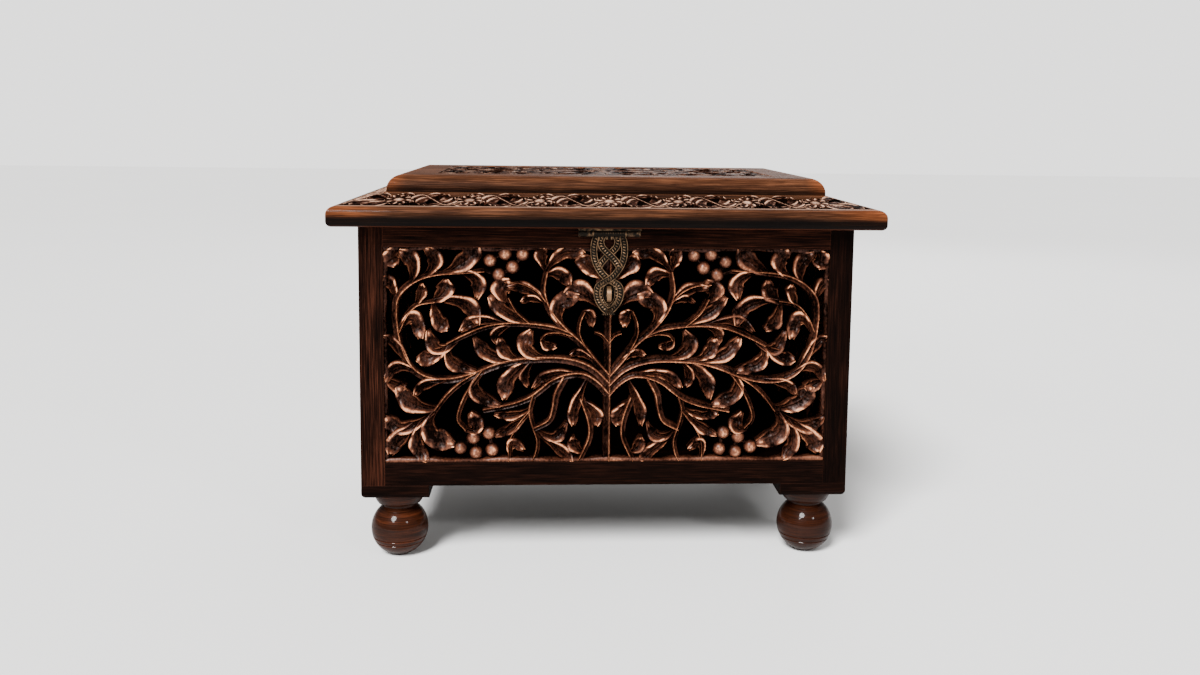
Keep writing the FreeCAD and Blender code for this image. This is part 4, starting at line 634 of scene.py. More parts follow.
class Carving:
    """Collects rings carried along paths, with how far each point is rubbed, as one closed mesh."""

    def __init__(self):
        self.points = []
        self.rub = []
        self.loops = []
        self.totals = []
        self.count = 0

    def add(self, grids, rub, tyre=False):
        """Adds grids[shape, station, ring, axis], capped at both ends, or closed as a tyre is.

        Each ring that runs the wrong way round its path is turned, so that every face looks outward.
        """
        shapes, stations, ring = grids.shape[:3]
        middle = grids[:, stations // 2]
        spokes = middle - middle.mean(1, keepdims=True)
        turn = np.cross(spokes, np.roll(spokes, -1, 1)).sum(1)
        ahead = (grids[:, stations // 2 + 1] - grids[:, stations // 2 - 1]).mean(1)
        backward = (turn * ahead).sum(1) < 0
        grids = np.where(backward[:, None, None, None], grids[:, :, ::-1], grids)
        rub = np.where(backward[:, None, None], rub[:, :, ::-1], rub)
        index = np.arange(shapes * stations * ring).reshape(shapes, stations, ring) + self.count
        beside = np.roll(index, -1, 2)
        if tyre:
            here, there = index, np.roll(index, -1, 1)
            here_beside, there_beside = beside, np.roll(beside, -1, 1)
        else:
            here, there = index[:, :-1], index[:, 1:]
            here_beside, there_beside = beside[:, :-1], beside[:, 1:]
            caps = np.concatenate([index[:, 0, ::-1], index[:, -1]])
            self.loops.append(caps.ravel())
            self.totals.append(np.full(len(caps), ring))
        quads = np.stack([here, here_beside, there_beside, there], -1).reshape(-1, 4)
        self.loops.append(quads.ravel())
        self.totals.append(np.full(len(quads), 4))
        self.points.append(grids.reshape(-1, 3))
        self.rub.append(rub.ravel())
        self.count += index.size

    def piece(self, name, material, body, replaced=()):
        """Makes the mesh, gives it its finish and lets it ride on its body."""
        points = np.concatenate(self.points)
        loops = np.concatenate(self.loops)
        totals = np.concatenate(self.totals)
        mesh = bpy.data.meshes.new(name)
        mesh.vertices.add(len(points))
        mesh.vertices.foreach_set("co", points.ravel())
        mesh.loops.add(len(loops))
        mesh.loops.foreach_set("vertex_index", loops)
        mesh.polygons.add(len(totals))
        mesh.polygons.foreach_set("loop_start", np.cumsum(totals) - totals)
        mesh.update(calc_edges=True)
        mesh.attributes.new("rub", "FLOAT", "POINT").data.foreach_set("value", np.concatenate(self.rub))
        mesh.shade_smooth()
        mesh.set_sharp_from_angle(angle=math.radians(SHARP_ANGLE))
        mesh.materials.append(material)
        made = bpy.data.objects.new(name, mesh)
        bpy.context.scene.collection.objects.link(made)
        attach(made, body)
        if replaced:
            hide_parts(*replaced)


def whole_ring(face, rub, relief):
    """Heights and rub of whole rings: the carved face, a dark step under each edge and the back."""
    right, left = face[..., -1:], face[..., :1]
    back = np.full_like(right, relief["back"])
    right_step = np.maximum(right - relief["step"], back)
    left_step = np.maximum(left - relief["step"], back)
    heights = np.concatenate([face, right_step, back, back, left_step], -1)
    right_rub = rub[..., -1:] * STEP_RUB_SHARE
    left_rub = rub[..., :1] * STEP_RUB_SHARE
    shade = np.full_like(right, BACK_RUB_SHARE)
    rubs = np.concatenate([rub, right_rub, shade, shade, left_rub], -1)
    return heights, rubs


def lifted_ring(lift, rub, relief):
    """Whole rings whose faces lie between the low and the high level of the relief."""
    return whole_ring(relief["low"] + (relief["high"] - relief["low"]) * lift, rub, relief)


def ring_across(shares):
    """Where a whole ring's points lie across, as shares of its half width."""
    return np.concatenate([shares, UNDERCUT_SHARES])


def carry(carving, place, line, sides, reach, rings, tyre=False):
    """Carries whole rings along flat lines: each point lies its reach to the side of its line."""
    heights, rubs = rings
    spots = line[..., None, :] + sides[..., None, :] * reach[..., None]
    carving.add(place(spots[..., 0], spots[..., 1], heights), rubs, tyre)


def band(carving, place, outline, shares, rings):
    """A band up or down a wall, evenly to both sides of its middle: its half width follows the outline."""
    heights, rubs = rings
    across = outline[:, :1] * ring_across(shares)
    carving.add(place(across[None], outline[None, :, 1:] + 0 * across[None], heights), rubs)


def leaves(carving, place, shapes, relief, stations, shares, tone):
    """Leaves, each from its root to its tip by way of the middle of its rib.

    The rib is a parabola that hooks inward at its end. The half width swells, wanders by a sine, and ends
    the rounder the lighter the leaf is.
    Across the leaf run flutes, lowest on its inner side and rolled over on its outer one, which the
    lightest leaves have nicked with slanting cuts. The tip is a fold behind a groove.
    """
    root, rib, tip = (shapes[key][:, None, :] for key in ("root", "rib", "tip"))
    width = shapes["width"][:, None, None]
    tone = np.broadcast_to(tone, len(width))[:, None, None]
    side = left_of(tip - root)
    halfway = (root + tip) / 2
    rib = halfway + BEND * (rib - halfway)
    bulge = np.sign(((rib - halfway) * side).sum(-1) + TINY)[..., None]
    along = np.linspace(*LEAF_SPAN_SHARES, stations)[None, :, None]
    middle = 4 * along * (1 - along)
    spine = (1 - along) * (1 - 2 * along) * root + middle * rib + along * (2 * along - 1) * tip
    spine = spine - HOOK_SHARE * width * bulge * smooth_step(*HOOK_SPAN_SHARES, along) * side
    tip_start = TIP_TONE_SHARE * tone + TIP_START_SHARE
    round_end = np.sqrt(1 - TIP_ROUND_SHARE * smooth_step(tip_start, 1, along) ** 2)
    start, *widening = relief["swell"]
    swell = (start + (1 - start) * smooth_step(*widening, along)) * round_end
    lobes = 1 + LOBE_SHARE * np.sin(2 * np.pi * (LOBE_COUNT * along + LOBE_TURNS * tone))
    reach = relief["fullness"] * width / 2 * swell * lobes * ring_across(shares)

    flutes = np.interp(np.asarray(shares) * bulge, LEAF_ACROSS_SHARES, relief["flutes"])
    cuts = np.clip(np.sin(2 * np.pi * (CUT_COUNT * along - CUT_SLANT_SHARE * np.abs(shares))), 0, 1)
    root_rise = ROOT_LIFT_SHARE + (1 - ROOT_LIFT_SHARE) * smooth_step(*ROOT_SPAN_SHARES, along)
    lift = flutes * root_rise * (1 - CUT_SHARE * cuts * (tone > CUT_TONE))
    groove = np.exp(-((along - GROOVE_SHARE) / GROOVE_WIDTH_SHARE) ** 2)
    fold_end = 1 - FOLD_DROP_SHARE * smooth_step(*FOLD_FALL_SHARES, along)
    fold = smooth_step(*FOLD_RISE_SHARES, along) * fold_end * (1 - FOLD_SIDE_SHARE * np.abs(shares))
    lift = np.maximum(lift * (1 - GROOVE_DEPTH_SHARE * groove), fold)
    hollow_rub, crest_rub = LEAF_RUB_SHARES
    rub = (hollow_rub + crest_rub * lift ** LEAF_RUB_POWER) * tone * relief["wear"]
    carry(carving, place, spine, side_ways(spine), reach, lifted_ring(lift, rub, relief))


def stem(carving, place, route, widths, relief, leg_steps, rubbed=STEM_RUB_SHARE):
    """A stem along a smooth route, which narrows evenly: a ridge whose crest lies to one side."""
    stations = (len(route) - 1) * leg_steps + 1
    line = smooth_route(route, stations)[None]
    reach = np.linspace(*widths, stations)[:, None] / 2 * ring_across(STEM_ACROSS_SHARES)
    lift = np.tile(STEM_LIFT_SHARES, (1, stations, 1))
    rub = (STEM_HOLLOW_RUB + lift ** STEM_RUB_POWER) * rubbed
    carry(carving, place, line, side_ways(line), reach, lifted_ring(lift, rub, relief))


def stems(carving, place, shares, placings, unit, relief, leg_steps, rubbed):
    """Every stem of a table of shares, its thickness being shares of a unit."""
    sunk = {**relief, "high": relief["low"]}
    for placing in placings:
        for start, end, route in shares:
            widths = (start * unit, end * unit)
            if start < STALK_SHARE:
                stem(carving, place, placing(route), widths, sunk, leg_steps, STALK_RUB_SHARE)
            else:
                stem(carving, place, placing(route), widths, relief, leg_steps, rubbed)


def berries(carving, place, centres, radius, relief, sides=BERRY_SIDES):
    """Balls on stalks: level rings about each centre, which swell and then close towards the crest. They are
    rubbed brightest at the crest and darker towards the rim, which paints their highlight and shade.
    """
    centres = np.asarray(centres, float)[:, None, None, :]
    turn = np.linspace(0, 2 * np.pi, sides, endpoint=False)
    rings = radius * np.asarray(BERRY_RADIUS_SHARES)[:, None]
    rise = np.asarray(BERRY_HEIGHT_SHARES)[:, None] + 0 * turn
    rise = np.broadcast_to(rise, (len(centres), *rise.shape))
    heights = relief["back"] + (relief["high"] - relief["back"]) * rise
    grids = place(centres[..., 0] + rings * np.cos(turn), centres[..., 1] + rings * np.sin(turn), heights)
    carving.add(grids, smooth_step(*BERRY_RUB_SHARES, rise))


def mirrored(reach, ways):
    """Functions that place shares of a reach, one for each way of mirroring them."""
    return [lambda shares, way=way: np.array(shares, float) * way * reach for way in ways]


def leaf_table(shares, unit, placings):
    """Root, rib and tip of each leaf of a table of shares, once for each placing, and widths in a unit."""
    ribs = np.array([leaf[:3] for leaf in shares], float)
    root, rib, tip = np.concatenate([placing(ribs) for placing in placings]).swapaxes(0, 1)
    width = np.tile([leaf[3] * unit for leaf in shares], len(placings))
    return {"root": root, "rib": rib, "tip": tip, "width": width}


def wall_turn(wall):
    """How far a wall is turned from the front one, seen from above."""
    return math.pi / 2 * WALLS.index(wall)


def wall_place(wall):
    """Maps a spot on a wall's carved face, and its height out of it, into the chest's frame."""
    turn = wall_turn(wall)
    far = -POST_BOX[0].y if wall in LONG_WALLS else -POST_BOX[0].x
    middle = np.array([math.sin(turn) * far, -math.cos(turn) * far])
    setback = PANEL_FACE - POST_BOX[0].y
    half, height = opening_reach(wall)

    def place(across, up, out):
        across = np.clip(across, -half, half)
        up = np.clip(up, 0, height)
        inward = setback - out
        x = middle[0] + math.cos(turn) * across - math.sin(turn) * inward
        y = middle[1] + math.sin(turn) * across + math.cos(turn) * inward
        return np.stack(np.broadcast_arrays(x, y, OPENING_LOW + FIT_GAP + up), -1)

    return place


def opening_reach(wall):
    """Half width and height of a panel inside its wall's opening."""
    half = -POST_BOX[1].x if wall in LONG_WALLS else -POST_BOX[1].y
    return np.array([half - FIT_GAP, OPENING_HIGH - OPENING_LOW - 2 * FIT_GAP])


def lip(carving, place, half, height, settings):
    """The hand-cut lip round a panel: four strips whose inner edge wanders by a sum of two sines."""
    edges = (
        ((-half, 0), (half, 0), (0, 1)), ((-half, height), (half, height), (0, -1)),
        ((-half, 0), (-half, height), (1, 0)), ((half, 0), (half, height), (-1, 0)),
    )
    long_share, short_share = LIP_WAVE_SHARES
    along = np.linspace(0, 1, LIP_STATIONS)[:, None]
    for index, (start, end, inward) in enumerate(edges):
        way = np.subtract(end, start)
        run = along * np.linalg.norm(way)
        long_wave = long_share * np.sin(run / LIP_LONG_WAVE + index)
        wander = long_wave + short_share * np.sin(run / LIP_SHORT_WAVE + 2 * index)
        across = (settings.rim_width + settings.rim_wave * wander) * np.array(LIP_ACROSS_SHARES)
        fall = settings.rim_wave * (index // 2) * LIP_FALL_SHARE
        heights = np.array(LIP_HEIGHT_SHARES) * settings.depth - fall + 0 * across
        # The bottom lip is rubbed brighter than the others, which paints a highlight on it.
        most = LIP_BOTTOM_RUB_AND_HIGHLIGHT if index == 0 else LIP_REST_RUB
        rub = np.array(LIP_RUB_SHARES) * most * (1 - LIP_RUB_SWING + LIP_RUB_SWING * wander)
        line = (np.array(start) + along * way)[None]
        carry(carving, place, line, np.array([[inward]]), across, (heights[None], rub[None]))


def boss(carving, place, height, settings):
    """The trunk's swelling behind the hasp: a flat-faced band whose sides fall away."""
    outline = smooth_route(BOSS_SHARES, BOSS_STATIONS) * (settings.boss_width, height)
    face = np.tile(np.array(BOSS_FALL_SHARES) * settings.hollow, (1, BOSS_STATIONS, 1))
    relief = {"step": settings.crest, "back": -settings.depth}
    band(carving, place, outline, BOSS_ACROSS_SHARES, whole_ring(face, np.full_like(face, BOSS_RUB), relief))


class CHEST_OT_panels(Operator):
    """Carve the pierced tree panels of the front and both sides"""

    bl_idname = "chest.panels"
    bl_label = "Carve the panels"

    def execute(self, context):
        settings = context.scene.chest_panels
        material = carved_wood("carved_wood", context.scene.chest_finish)
        relief = {"low": -settings.hollow, "high": settings.crest}
        relief |= {"step": settings.crest, "back": -settings.depth, "wear": 1}
        relief |= {"flutes": LEAF_LIFT_SHARES, "fullness": PANEL_FULLNESS, "swell": PANEL_SWELL_SHARES}
        for wall in CARVED_WALLS:
            place = wall_place(wall)
            carving = Carving()
            reach = opening_reach(wall)
            half, height = reach
            placings = mirrored(reach, BOTH_WAYS)
            table = leaf_table(LEAF_SHARES, height, placings)
            tones = np.random.default_rng(TONE_SEED).uniform(*TONE_SHARES, len(table["width"]))
            leaves(carving, place, table, relief, LEAF_STATIONS, LEAF_ACROSS_SHARES, tones)
            stem_width = settings.stem_width
            stems(carving, place, STEM_SHARES, placings, stem_width, relief, LEG_STEPS, STEM_RUB_SHARE)
            centres = np.concatenate([placing(BERRY_SHARES) for placing in placings])
            berries(carving, place, centres, settings.berry_diameter / 2, relief)
            lip(carving, place, half, height, settings)
            if wall == "front":
                boss(carving, place, height, settings)
            carving.piece("tree_carving_" + wall, material, "base", ["panel_" + wall])
        return {"FINISHED"}


def border_place(settings):
    """Maps a spot of the lid in plan, and its height over the border's ground, into the chest's frame.

    The ground rises evenly with the distance from the nearest edge of the lid.
    """
    half = -MOULDING_BOX[0].xy
    rise = MOULDING_BOX[1].z - MOULDING_BOX[0].z - settings.edge_thickness
    run = settings.slope_end - settings.edge_radius

    def place(x, y, height):
        inset = np.minimum(half.x - np.abs(x), half.y - np.abs(y))
        level = MOULDING_BOX[0].z + settings.edge_thickness - settings.carving_depth
        return np.stack([x, y, level + rise / run * (inset - settings.edge_radius) + height], -1)

    return place


def field_place(settings):
    """Maps a spot of the board in plan, and its height over the field's ground, into the chest's frame."""
    ground = BOARD_BOX[1].z - settings.carving_depth

    def place(x, y, height):
        return np.stack(np.broadcast_arrays(x, y, ground + height), -1)

    return place


def side_spots(wall):
    """Maps spots along a side of the lid and inward from its edge into plan."""
    turn = wall_turn(wall)
    half = -MOULDING_BOX[0].xy
    far = half.y if wall in LONG_WALLS else half.x
    along = np.array([math.cos(turn), math.sin(turn)])
    inward = np.array([-math.sin(turn), math.cos(turn)])

    def spots(points):
        points = np.asarray(points, float)
        return points[..., :1] * along + (points[..., 1:] - far) * inward

    return spots


def rosette_petals(centres, radius):
    """Leaves that stand round each centre as the petals of a rosette."""
    turn = np.linspace(0, 2 * np.pi, PETAL_COUNT, endpoint=False) + PETAL_TURN
    ways = np.stack([np.cos(turn), np.sin(turn)], -1)
    spread = np.asarray(centres, float)[:, None, :]
    table = {
        key: (spread + radius * share * ways).reshape(-1, 2)
        for key, share in zip(("root", "rib", "tip"), PETAL_REACH_SHARES)
    }
    table["width"] = np.full(len(table["root"]), radius * PETAL_WIDTH_SHARE)
    return table


class CHEST_OT_lid_border(Operator):
    """Carve the rosettes and leaf sprays of the lid's sloping border"""

    bl_idname = "chest.lid_border"
    bl_label = "Carve the lid's border"

    def execute(self, context):
        settings = context.scene.chest_lid
        material = carved_wood("carved_lid_wood", context.scene.chest_finish, lid=True)
        place = border_place(settings)
        middle = (settings.channel_start + settings.channel_end) / 2
        reach = (settings.channel_end - settings.channel_start) / 2 * BORDER_FILL_SHARE
        relief = lid_relief(settings)
        carving = Carving()
        for wall in WALLS:
            long_side = wall in LONG_WALLS
            count = settings.front_rosettes if long_side else settings.side_rosettes
            pitch = settings.front_pitch if long_side else settings.side_pitch
            spots = side_spots(wall)
            starts = (np.arange(count) - (count - 1) / 2) * pitch
            centres = spots(np.stack([starts, np.full(count, middle)], -1))
            petals = rosette_petals(centres, settings.rosette_radius)
            small_leaves(carving, place, petals, relief)
            berries(carving, place, centres, settings.rosette_radius * BUTTON_SHARE, relief, BUTTON_SIDES)
            for start in starts[:-1]:
                spray(carving, place, spots, (start, middle), (pitch, reach), relief, settings)
            corner_sprays(carving, place, spots, (starts[-1], middle), reach, relief)
        carving.piece("lid_border_carving", material, "lid")
        return {"FINISHED"}


def lid_relief(settings, wear=1):
    """Levels of the lid's carving over its ground, the form of its leaves, and how far they are worn."""
    top = settings.carving_depth
    levels = {"low": settings.relief_height, "high": top, "step": top - settings.relief_height}
    shape = {"flutes": LID_LIFT_SHARES, "fullness": LID_FULLNESS, "swell": LID_SWELL_SHARES}
    return levels | shape | {"back": -top * BURIED_SHARE, "wear": wear}


def small_leaves(carving, place, shapes, relief):
    """Leaves and petals of the lid's border, with few points each."""
    leaves(carving, place, shapes, relief, SMALL_STATIONS, SMALL_ACROSS_SHARES, BORDER_TONE)


def spray(carving, place, spots, origin, reach, relief, settings):
    """A winding vine and its leaves between two rosettes."""

    def placing(shares):
        return spots(np.array(origin) + np.array(shares) * np.array(reach))

    widths = (settings.stem_width, settings.stem_width)
    stem(carving, place, placing(VINE_SHARES), widths, relief, VINE_LEG_STEPS)
    small_leaves(carving, place, leaf_table(BORDER_LEAF_SHARES, reach[1], [placing]), relief)


def corner_sprays(carving, place, spots, last, reach, relief):
    """Leaves from the last rosettes of a side towards its corners, one side the mirror of the other."""
    for way in (-1, 1):

        def placing(shares):
            return spots((np.array(last) + shares * reach) * (way, 1))

        small_leaves(carving, place, leaf_table(CORNER_LEAF_SHARES, reach, [placing]), relief)


class CHEST_OT_lid_field(Operator):
    """Carve the scrolling leaves of the raised board's sunk field"""

    bl_idname = "chest.lid_field"
    bl_label = "Carve the lid's field"

    def execute(self, context):
        settings = context.scene.chest_lid
        material = carved_wood("carved_field_wood", context.scene.chest_finish, lid=True)
        place = field_place(settings)
        relief = lid_relief(settings, FIELD_WEAR_SHARE)
        stem_rub = FIELD_TONE * FIELD_WEAR_SHARE * STEM_RUB_SHARE
        button = settings.rosette_radius * BUTTON_SHARE
        reach = np.array([BOARD_BOX[1].x - settings.field_inset, BOARD_BOX[1].y - settings.field_inset])
        placings = mirrored(reach, FOUR_WAYS)
        carving = Carving()
        table = leaf_table(FIELD_LEAF_SHARES, reach[1], placings)
        leaves(carving, place, table, relief, FIELD_STATIONS, FIELD_ACROSS_SHARES, FIELD_TONE)
        stem_width = settings.stem_width
        stems(carving, place, FIELD_STEM_SHARES, placings, stem_width, relief, FIELD_LEG_STEPS, stem_rub)
        centres = np.concatenate([placing(FIELD_BERRY_SHARES) for placing in placings])
        berries(carving, place, centres, button, relief, BUTTON_SIDES)
        heart = [(0, 0)]
        petals = rosette_petals(heart, settings.rosette_radius * HEART_SHARE)
        leaves(carving, place, petals, relief, FIELD_STATIONS, FIELD_ACROSS_SHARES, FIELD_TONE)
        berries(carving, place, heart, button, relief)
        carving.piece("lid_field_carving", material, "lid")
        return {"FINISHED"}


def rope_lift(turn):
    """How high a band's points stand: plain rims, and a middle that a sine cuts as a rope is."""
    cuts = (1 + np.sin(turn)) / 2 * np.array(BRAID_CUT_SHARES)
    return np.array(BRAID_LIFT_SHARES) * (1 - BRAID_CUT_SHARE * cuts)


def brass_ring(lift, rise, settings):
    """Whole rings of the hasp, which are the brighter the higher they stand."""
    relief = {"step": settings.crest, "back": -settings.thickness}
    return whole_ring(lift * settings.crest + rise, lift, relief)


def braid_band(carving, place, route, settings, over, half):
    """A rope-cut band along a route, which rises or dips by a bell curve where it crosses the middle."""
    line = smooth_route(route, BRAID_STATIONS)
    steps = np.linalg.norm(np.diff(line, axis=0), axis=1)
    run = np.concatenate([[0], np.cumsum(steps)])
    turn = 2 * np.pi * run[:, None] / settings.twist
    lift = rope_lift(turn + BRAID_SLANT * np.array(BRAID_ACROSS_SHARES))
    rise = over * settings.weave * np.exp(-(line[:, :1] / (BRAID_CROSSING_SHARE * half)) ** 2)
    reach = settings.band_width / 2 * ring_across(BRAID_ACROSS_SHARES)
    line = line[None]
    carry(carving, place, line, side_ways(line), reach, brass_ring(lift[None], rise, settings))


class CHEST_OT_hasp(Operator):
    """Braid the pierced brass hasp and its knuckle"""

    bl_idname = "chest.hasp"
    bl_label = "Braid the hasp"

    def execute(self, context):
        settings = context.scene.chest_hasp
        half = HASP_BOX[1].x
        drop = HASP_AXIS.z - HASP_BOX[0].z
        front = POST_BOX[0].y - settings.stand_off - settings.thickness
        reach = np.array([half, drop])

        def place(across, down, out):
            return np.stack(np.broadcast_arrays(across, front - out, HASP_AXIS.z - down), -1)

        carving = Carving()
        for way in (-1, 1):
            flip = reach * np.array([way, 1])
            braid_band(carving, place, np.array(OUTER_BAND_SHARES) * flip, settings, way, half)
            braid_band(carving, place, np.array(INNER_BAND_SHARES) * flip, settings, -way, half)
        slot_ring(carving, place, reach, settings)
        plate(carving, place, np.array(HASP_HEAD_SHARES) * reach, settings)
        plate(carving, place, np.array(HASP_TIP_SHARES) * reach, settings)
        knuckle(carving, settings)
        material = braided_brass(context.scene.chest_finish)
        carving.piece("braided_hasp", material, "hasp", ["hasp_plate"])
        return {"FINISHED"}


def slot_ring(carving, place, reach, settings):
    """A rope-cut ring about the hasp's slot: an ellipse with a band carried along it."""
    x, drop, half_width, half_height = np.array(SLOT_RING_SHARES) * np.tile(reach, 2)
    turn = np.linspace(0, 2 * np.pi, RING_STATIONS, endpoint=False)[None, :, None]
    way = np.concatenate([np.cos(turn), np.sin(turn)], -1)
    line = np.array([x, drop]) + way * (half_width, half_height)
    across = ring_across(BRAID_ACROSS_SHARES) * settings.band_width / 2 * RING_WIDTH_SHARE
    rings = brass_ring(rope_lift(RING_CUTS * turn), 0, settings)
    carry(carving, place, line, way, across, rings, tyre=True)


def plate(carving, place, outline, settings):
    """A fluted plate that follows half widths down the hasp."""
    line = smooth_route(outline, PLATE_STATIONS)
    shares = np.linspace(-1, 1, PLATE_FLUTES)
    flutes = PLATE_FLUTE_SHARE * np.cos(np.pi * np.arange(PLATE_FLUTES)) * (1 - np.abs(shares))
    lift = np.tile(PLATE_LIFT_SHARE + flutes, (1, PLATE_STATIONS, 1))
    band(carving, place, line, shares, brass_ring(lift, 0, settings))


def knuckle(carving, settings):
    """The middle knuckle: a bored barrel about the pin, cut crosswise by two sines between plain ends."""
    half = settings.knuckle_length / 2
    shares = np.linspace(-1, 1, KNUCKLE_STEPS)
    turn = np.linspace(0, 2 * np.pi, KNUCKLE_SIDES, endpoint=False)[:, None]
    waves = np.sin(KNUCKLE_CUTS * np.pi * shares + KNUCKLE_TURNS * turn)
    waves = waves * np.sin(KNUCKLE_CUTS * np.pi * shares - KNUCKLE_TURNS * turn)
    lift = 1 - (1 - waves) / 2 * (1 - smooth_step(*KNUCKLE_END_SHARES, np.abs(shares)))
    outside = settings.knuckle_radius * (1 - KNUCKLE_CUT_SHARE * (1 - lift))
    bore = np.full((KNUCKLE_SIDES, 2), settings.bore_radius)
    radius = np.concatenate([outside, bore], 1)
    x = np.concatenate([shares, (1, -1)]) * half + 0 * radius
    grid = np.stack([x, HASP_AXIS.y + radius * np.cos(turn), HASP_AXIS.z + radius * np.sin(turn)], -1)
    rub = np.concatenate([lift * KNUCKLE_RUB, np.zeros_like(bore)], 1)
    carving.add(grid[None], rub[None], tyre=True)


def shader_of(name):
    """A new material, its node tree and its shader."""
    material = bpy.data.materials.new(name)
    material.use_nodes = True
    return material, material.node_tree, material.node_tree.nodes["Principled BSDF"]


def node(tree, kind, inputs, **settings):
    """Adds a node. An input takes a value, or a socket to be linked to."""
    made = tree.nodes.new(kind)
    for key, value in settings.items():
        setattr(made, key, value)
    for key, value in inputs.items():
        if isinstance(value, bpy.types.NodeSocket):
            tree.links.new(value, made.inputs[key])
        else:
            made.inputs[key].default_value = value
    return made


def ramp(tree, factor, stops):
    """A colour ramp through stops of place and colour."""
    made = node(tree, "ShaderNodeValToRGB", {"Fac": factor})
    elements = made.color_ramp.elements
    while len(elements) < len(stops):
        elements.new(1)
    for element, (place, colour) in zip(elements, stops):
        element.position = place
        element.color = (*colour, 1)
    return made.outputs["Color"]


def grey(level):
    """A level as a colour."""
    return (level, level, level)


def grey_ramp(tree, factor, stops):
    """A ramp through stops of place and level."""
    return ramp(tree, factor, [(place, grey(level)) for place, level in stops])


def noise(tree, vector, scale, detail, swirl=0):
    """Soft noise between nought and one."""
    inputs = {"Vector": vector, "Scale": scale, "Detail": detail, "Distortion": swirl}
    return node(tree, "ShaderNodeTexNoise", inputs).outputs["Fac"]


def reckon(tree, first, second, operation="ADD", clamp=False):
    """One number worked out from two, each a socket or a value."""
    made = node(tree, "ShaderNodeMath", {0: first, 1: second}, operation=operation, use_clamp=clamp)
    return made.outputs[0]


def scaled(tree, value, factor):
    """One number times another, which for two masks is where they overlap."""
    return reckon(tree, value, factor, "MULTIPLY")


def bump(tree, shader, height, strength, normal=None):
    """Roughens a shader's surface by a height."""
    inputs = {"Height": height, "Strength": strength, "Distance": BUMP_DEPTH}
    if normal:
        inputs["Normal"] = normal
    tree.links.new(node(tree, "ShaderNodeBump", inputs).outputs["Normal"], shader.inputs["Normal"])


def mix(tree, factor, first, second, blend="MIX"):
    """Blends two colours, each a socket or three numbers."""
    colours = {
        place: value if isinstance(value, bpy.types.NodeSocket) else (*value, 1)
        for place, value in zip(MIX_COLOUR_INPUTS, (first, second))
    }
    made = node(tree, "ShaderNodeMix", {"Factor": factor, **colours}, data_type="RGBA", blend_type=blend)
    return made.outputs[MIX_COLOUR_OUTPUT]


def object_place(tree):
    """Where a spot lies in the chest's frame."""
    return node(tree, "ShaderNodeTexCoord", {}).outputs["Object"]


def scaled_place(tree, scale):
    """Where a spot lies, with each axis times its own scale."""
    return node(tree, "ShaderNodeMapping", {"Vector": object_place(tree), "Scale": scale}).outputs["Vector"]


def object_axis(tree, axis):
    """Where a spot lies along one axis."""
    return node(tree, "ShaderNodeSeparateXYZ", {"Vector": object_place(tree)}).outputs[axis]


def from_middle(tree, axis):
    """How far a spot lies from the middle along an axis."""
    return node(tree, "ShaderNodeMath", {0: object_axis(tree, axis)}, operation="ABSOLUTE").outputs[0]


def rubbed_place(tree):
    """How far a spot of a carving is rubbed."""
    return node(tree, "ShaderNodeAttribute", {}, attribute_name="rub").outputs["Fac"]


def stain_where(material, inside, colour, blend="MIX"):
    """Stains the part of a finished piece that a mask names."""
    tree = material.node_tree
    base = tree.nodes["Principled BSDF"].inputs["Base Color"]
    tree.links.new(mix(tree, inside, base.links[0].from_socket, colour, blend), base)


def paint_shade_and_highlight_by_height(material, low, high, where):
    """Paints shade and highlight on the part of a finished wood that a mask names: darker towards the lower
    of two heights, brighter towards the upper.
    """
    tree = material.node_tree
    heights = {"Value": object_axis(tree, "Z"), "From Min": low, "From Max": high}
    heights |= {"To Min": PAINTED_SHADE_LOW, "To Max": PAINTED_HIGHLIGHT_HIGH}
    stain_where(material, where, node(tree, "ShaderNodeMapRange", heights).outputs["Result"], "MULTIPLY")


def above(tree, height):
    """One where a place lies higher than a height."""
    return reckon(tree, object_axis(tree, "Z"), height, "GREATER_THAN")


def beyond(tree, axis, reach):
    """One where a place lies further from the middle along an axis than a reach."""
    return reckon(tree, from_middle(tree, axis), reach, "GREATER_THAN")


def within(tree, axis, reach):
    """One where a place lies nearer to the middle along an axis than a reach."""
    return reckon(tree, from_middle(tree, axis), reach, "LESS_THAN")


def either(tree, first, second):
    """One where at least one of two masks is."""
    return reckon(tree, first, second, "MAXIMUM")


def without(tree, first, second):
    """One where the first of two masks is and the second isn't."""
    return reckon(tree, first, second, "SUBTRACT", clamp=True)


def between(tree, axis, low, high):
    """One where a place's distance from the middle along an axis lies between two lengths."""
    return scaled(tree, beyond(tree, axis, low), within(tree, axis, high))


def rub_and_highlight_ends(material, axis, end, reach):
    """Rubs a finished wood lighter towards both of its ends along an axis, where hands lift the lid, which
    also paints highlights there.
    """
    tree = material.node_tree
    span = {"Value": from_middle(tree, axis), "From Min": end - reach, "From Max": end, "To Max": CORNER_RUB_AND_HIGHLIGHT}
    rubbed = node(tree, "ShaderNodeMapRange", span, interpolation_type="SMOOTHSTEP").outputs["Result"]
    stain_where(material, rubbed, RUBBED_CORNER_HIGHLIGHT_TINT, "MULTIPLY")


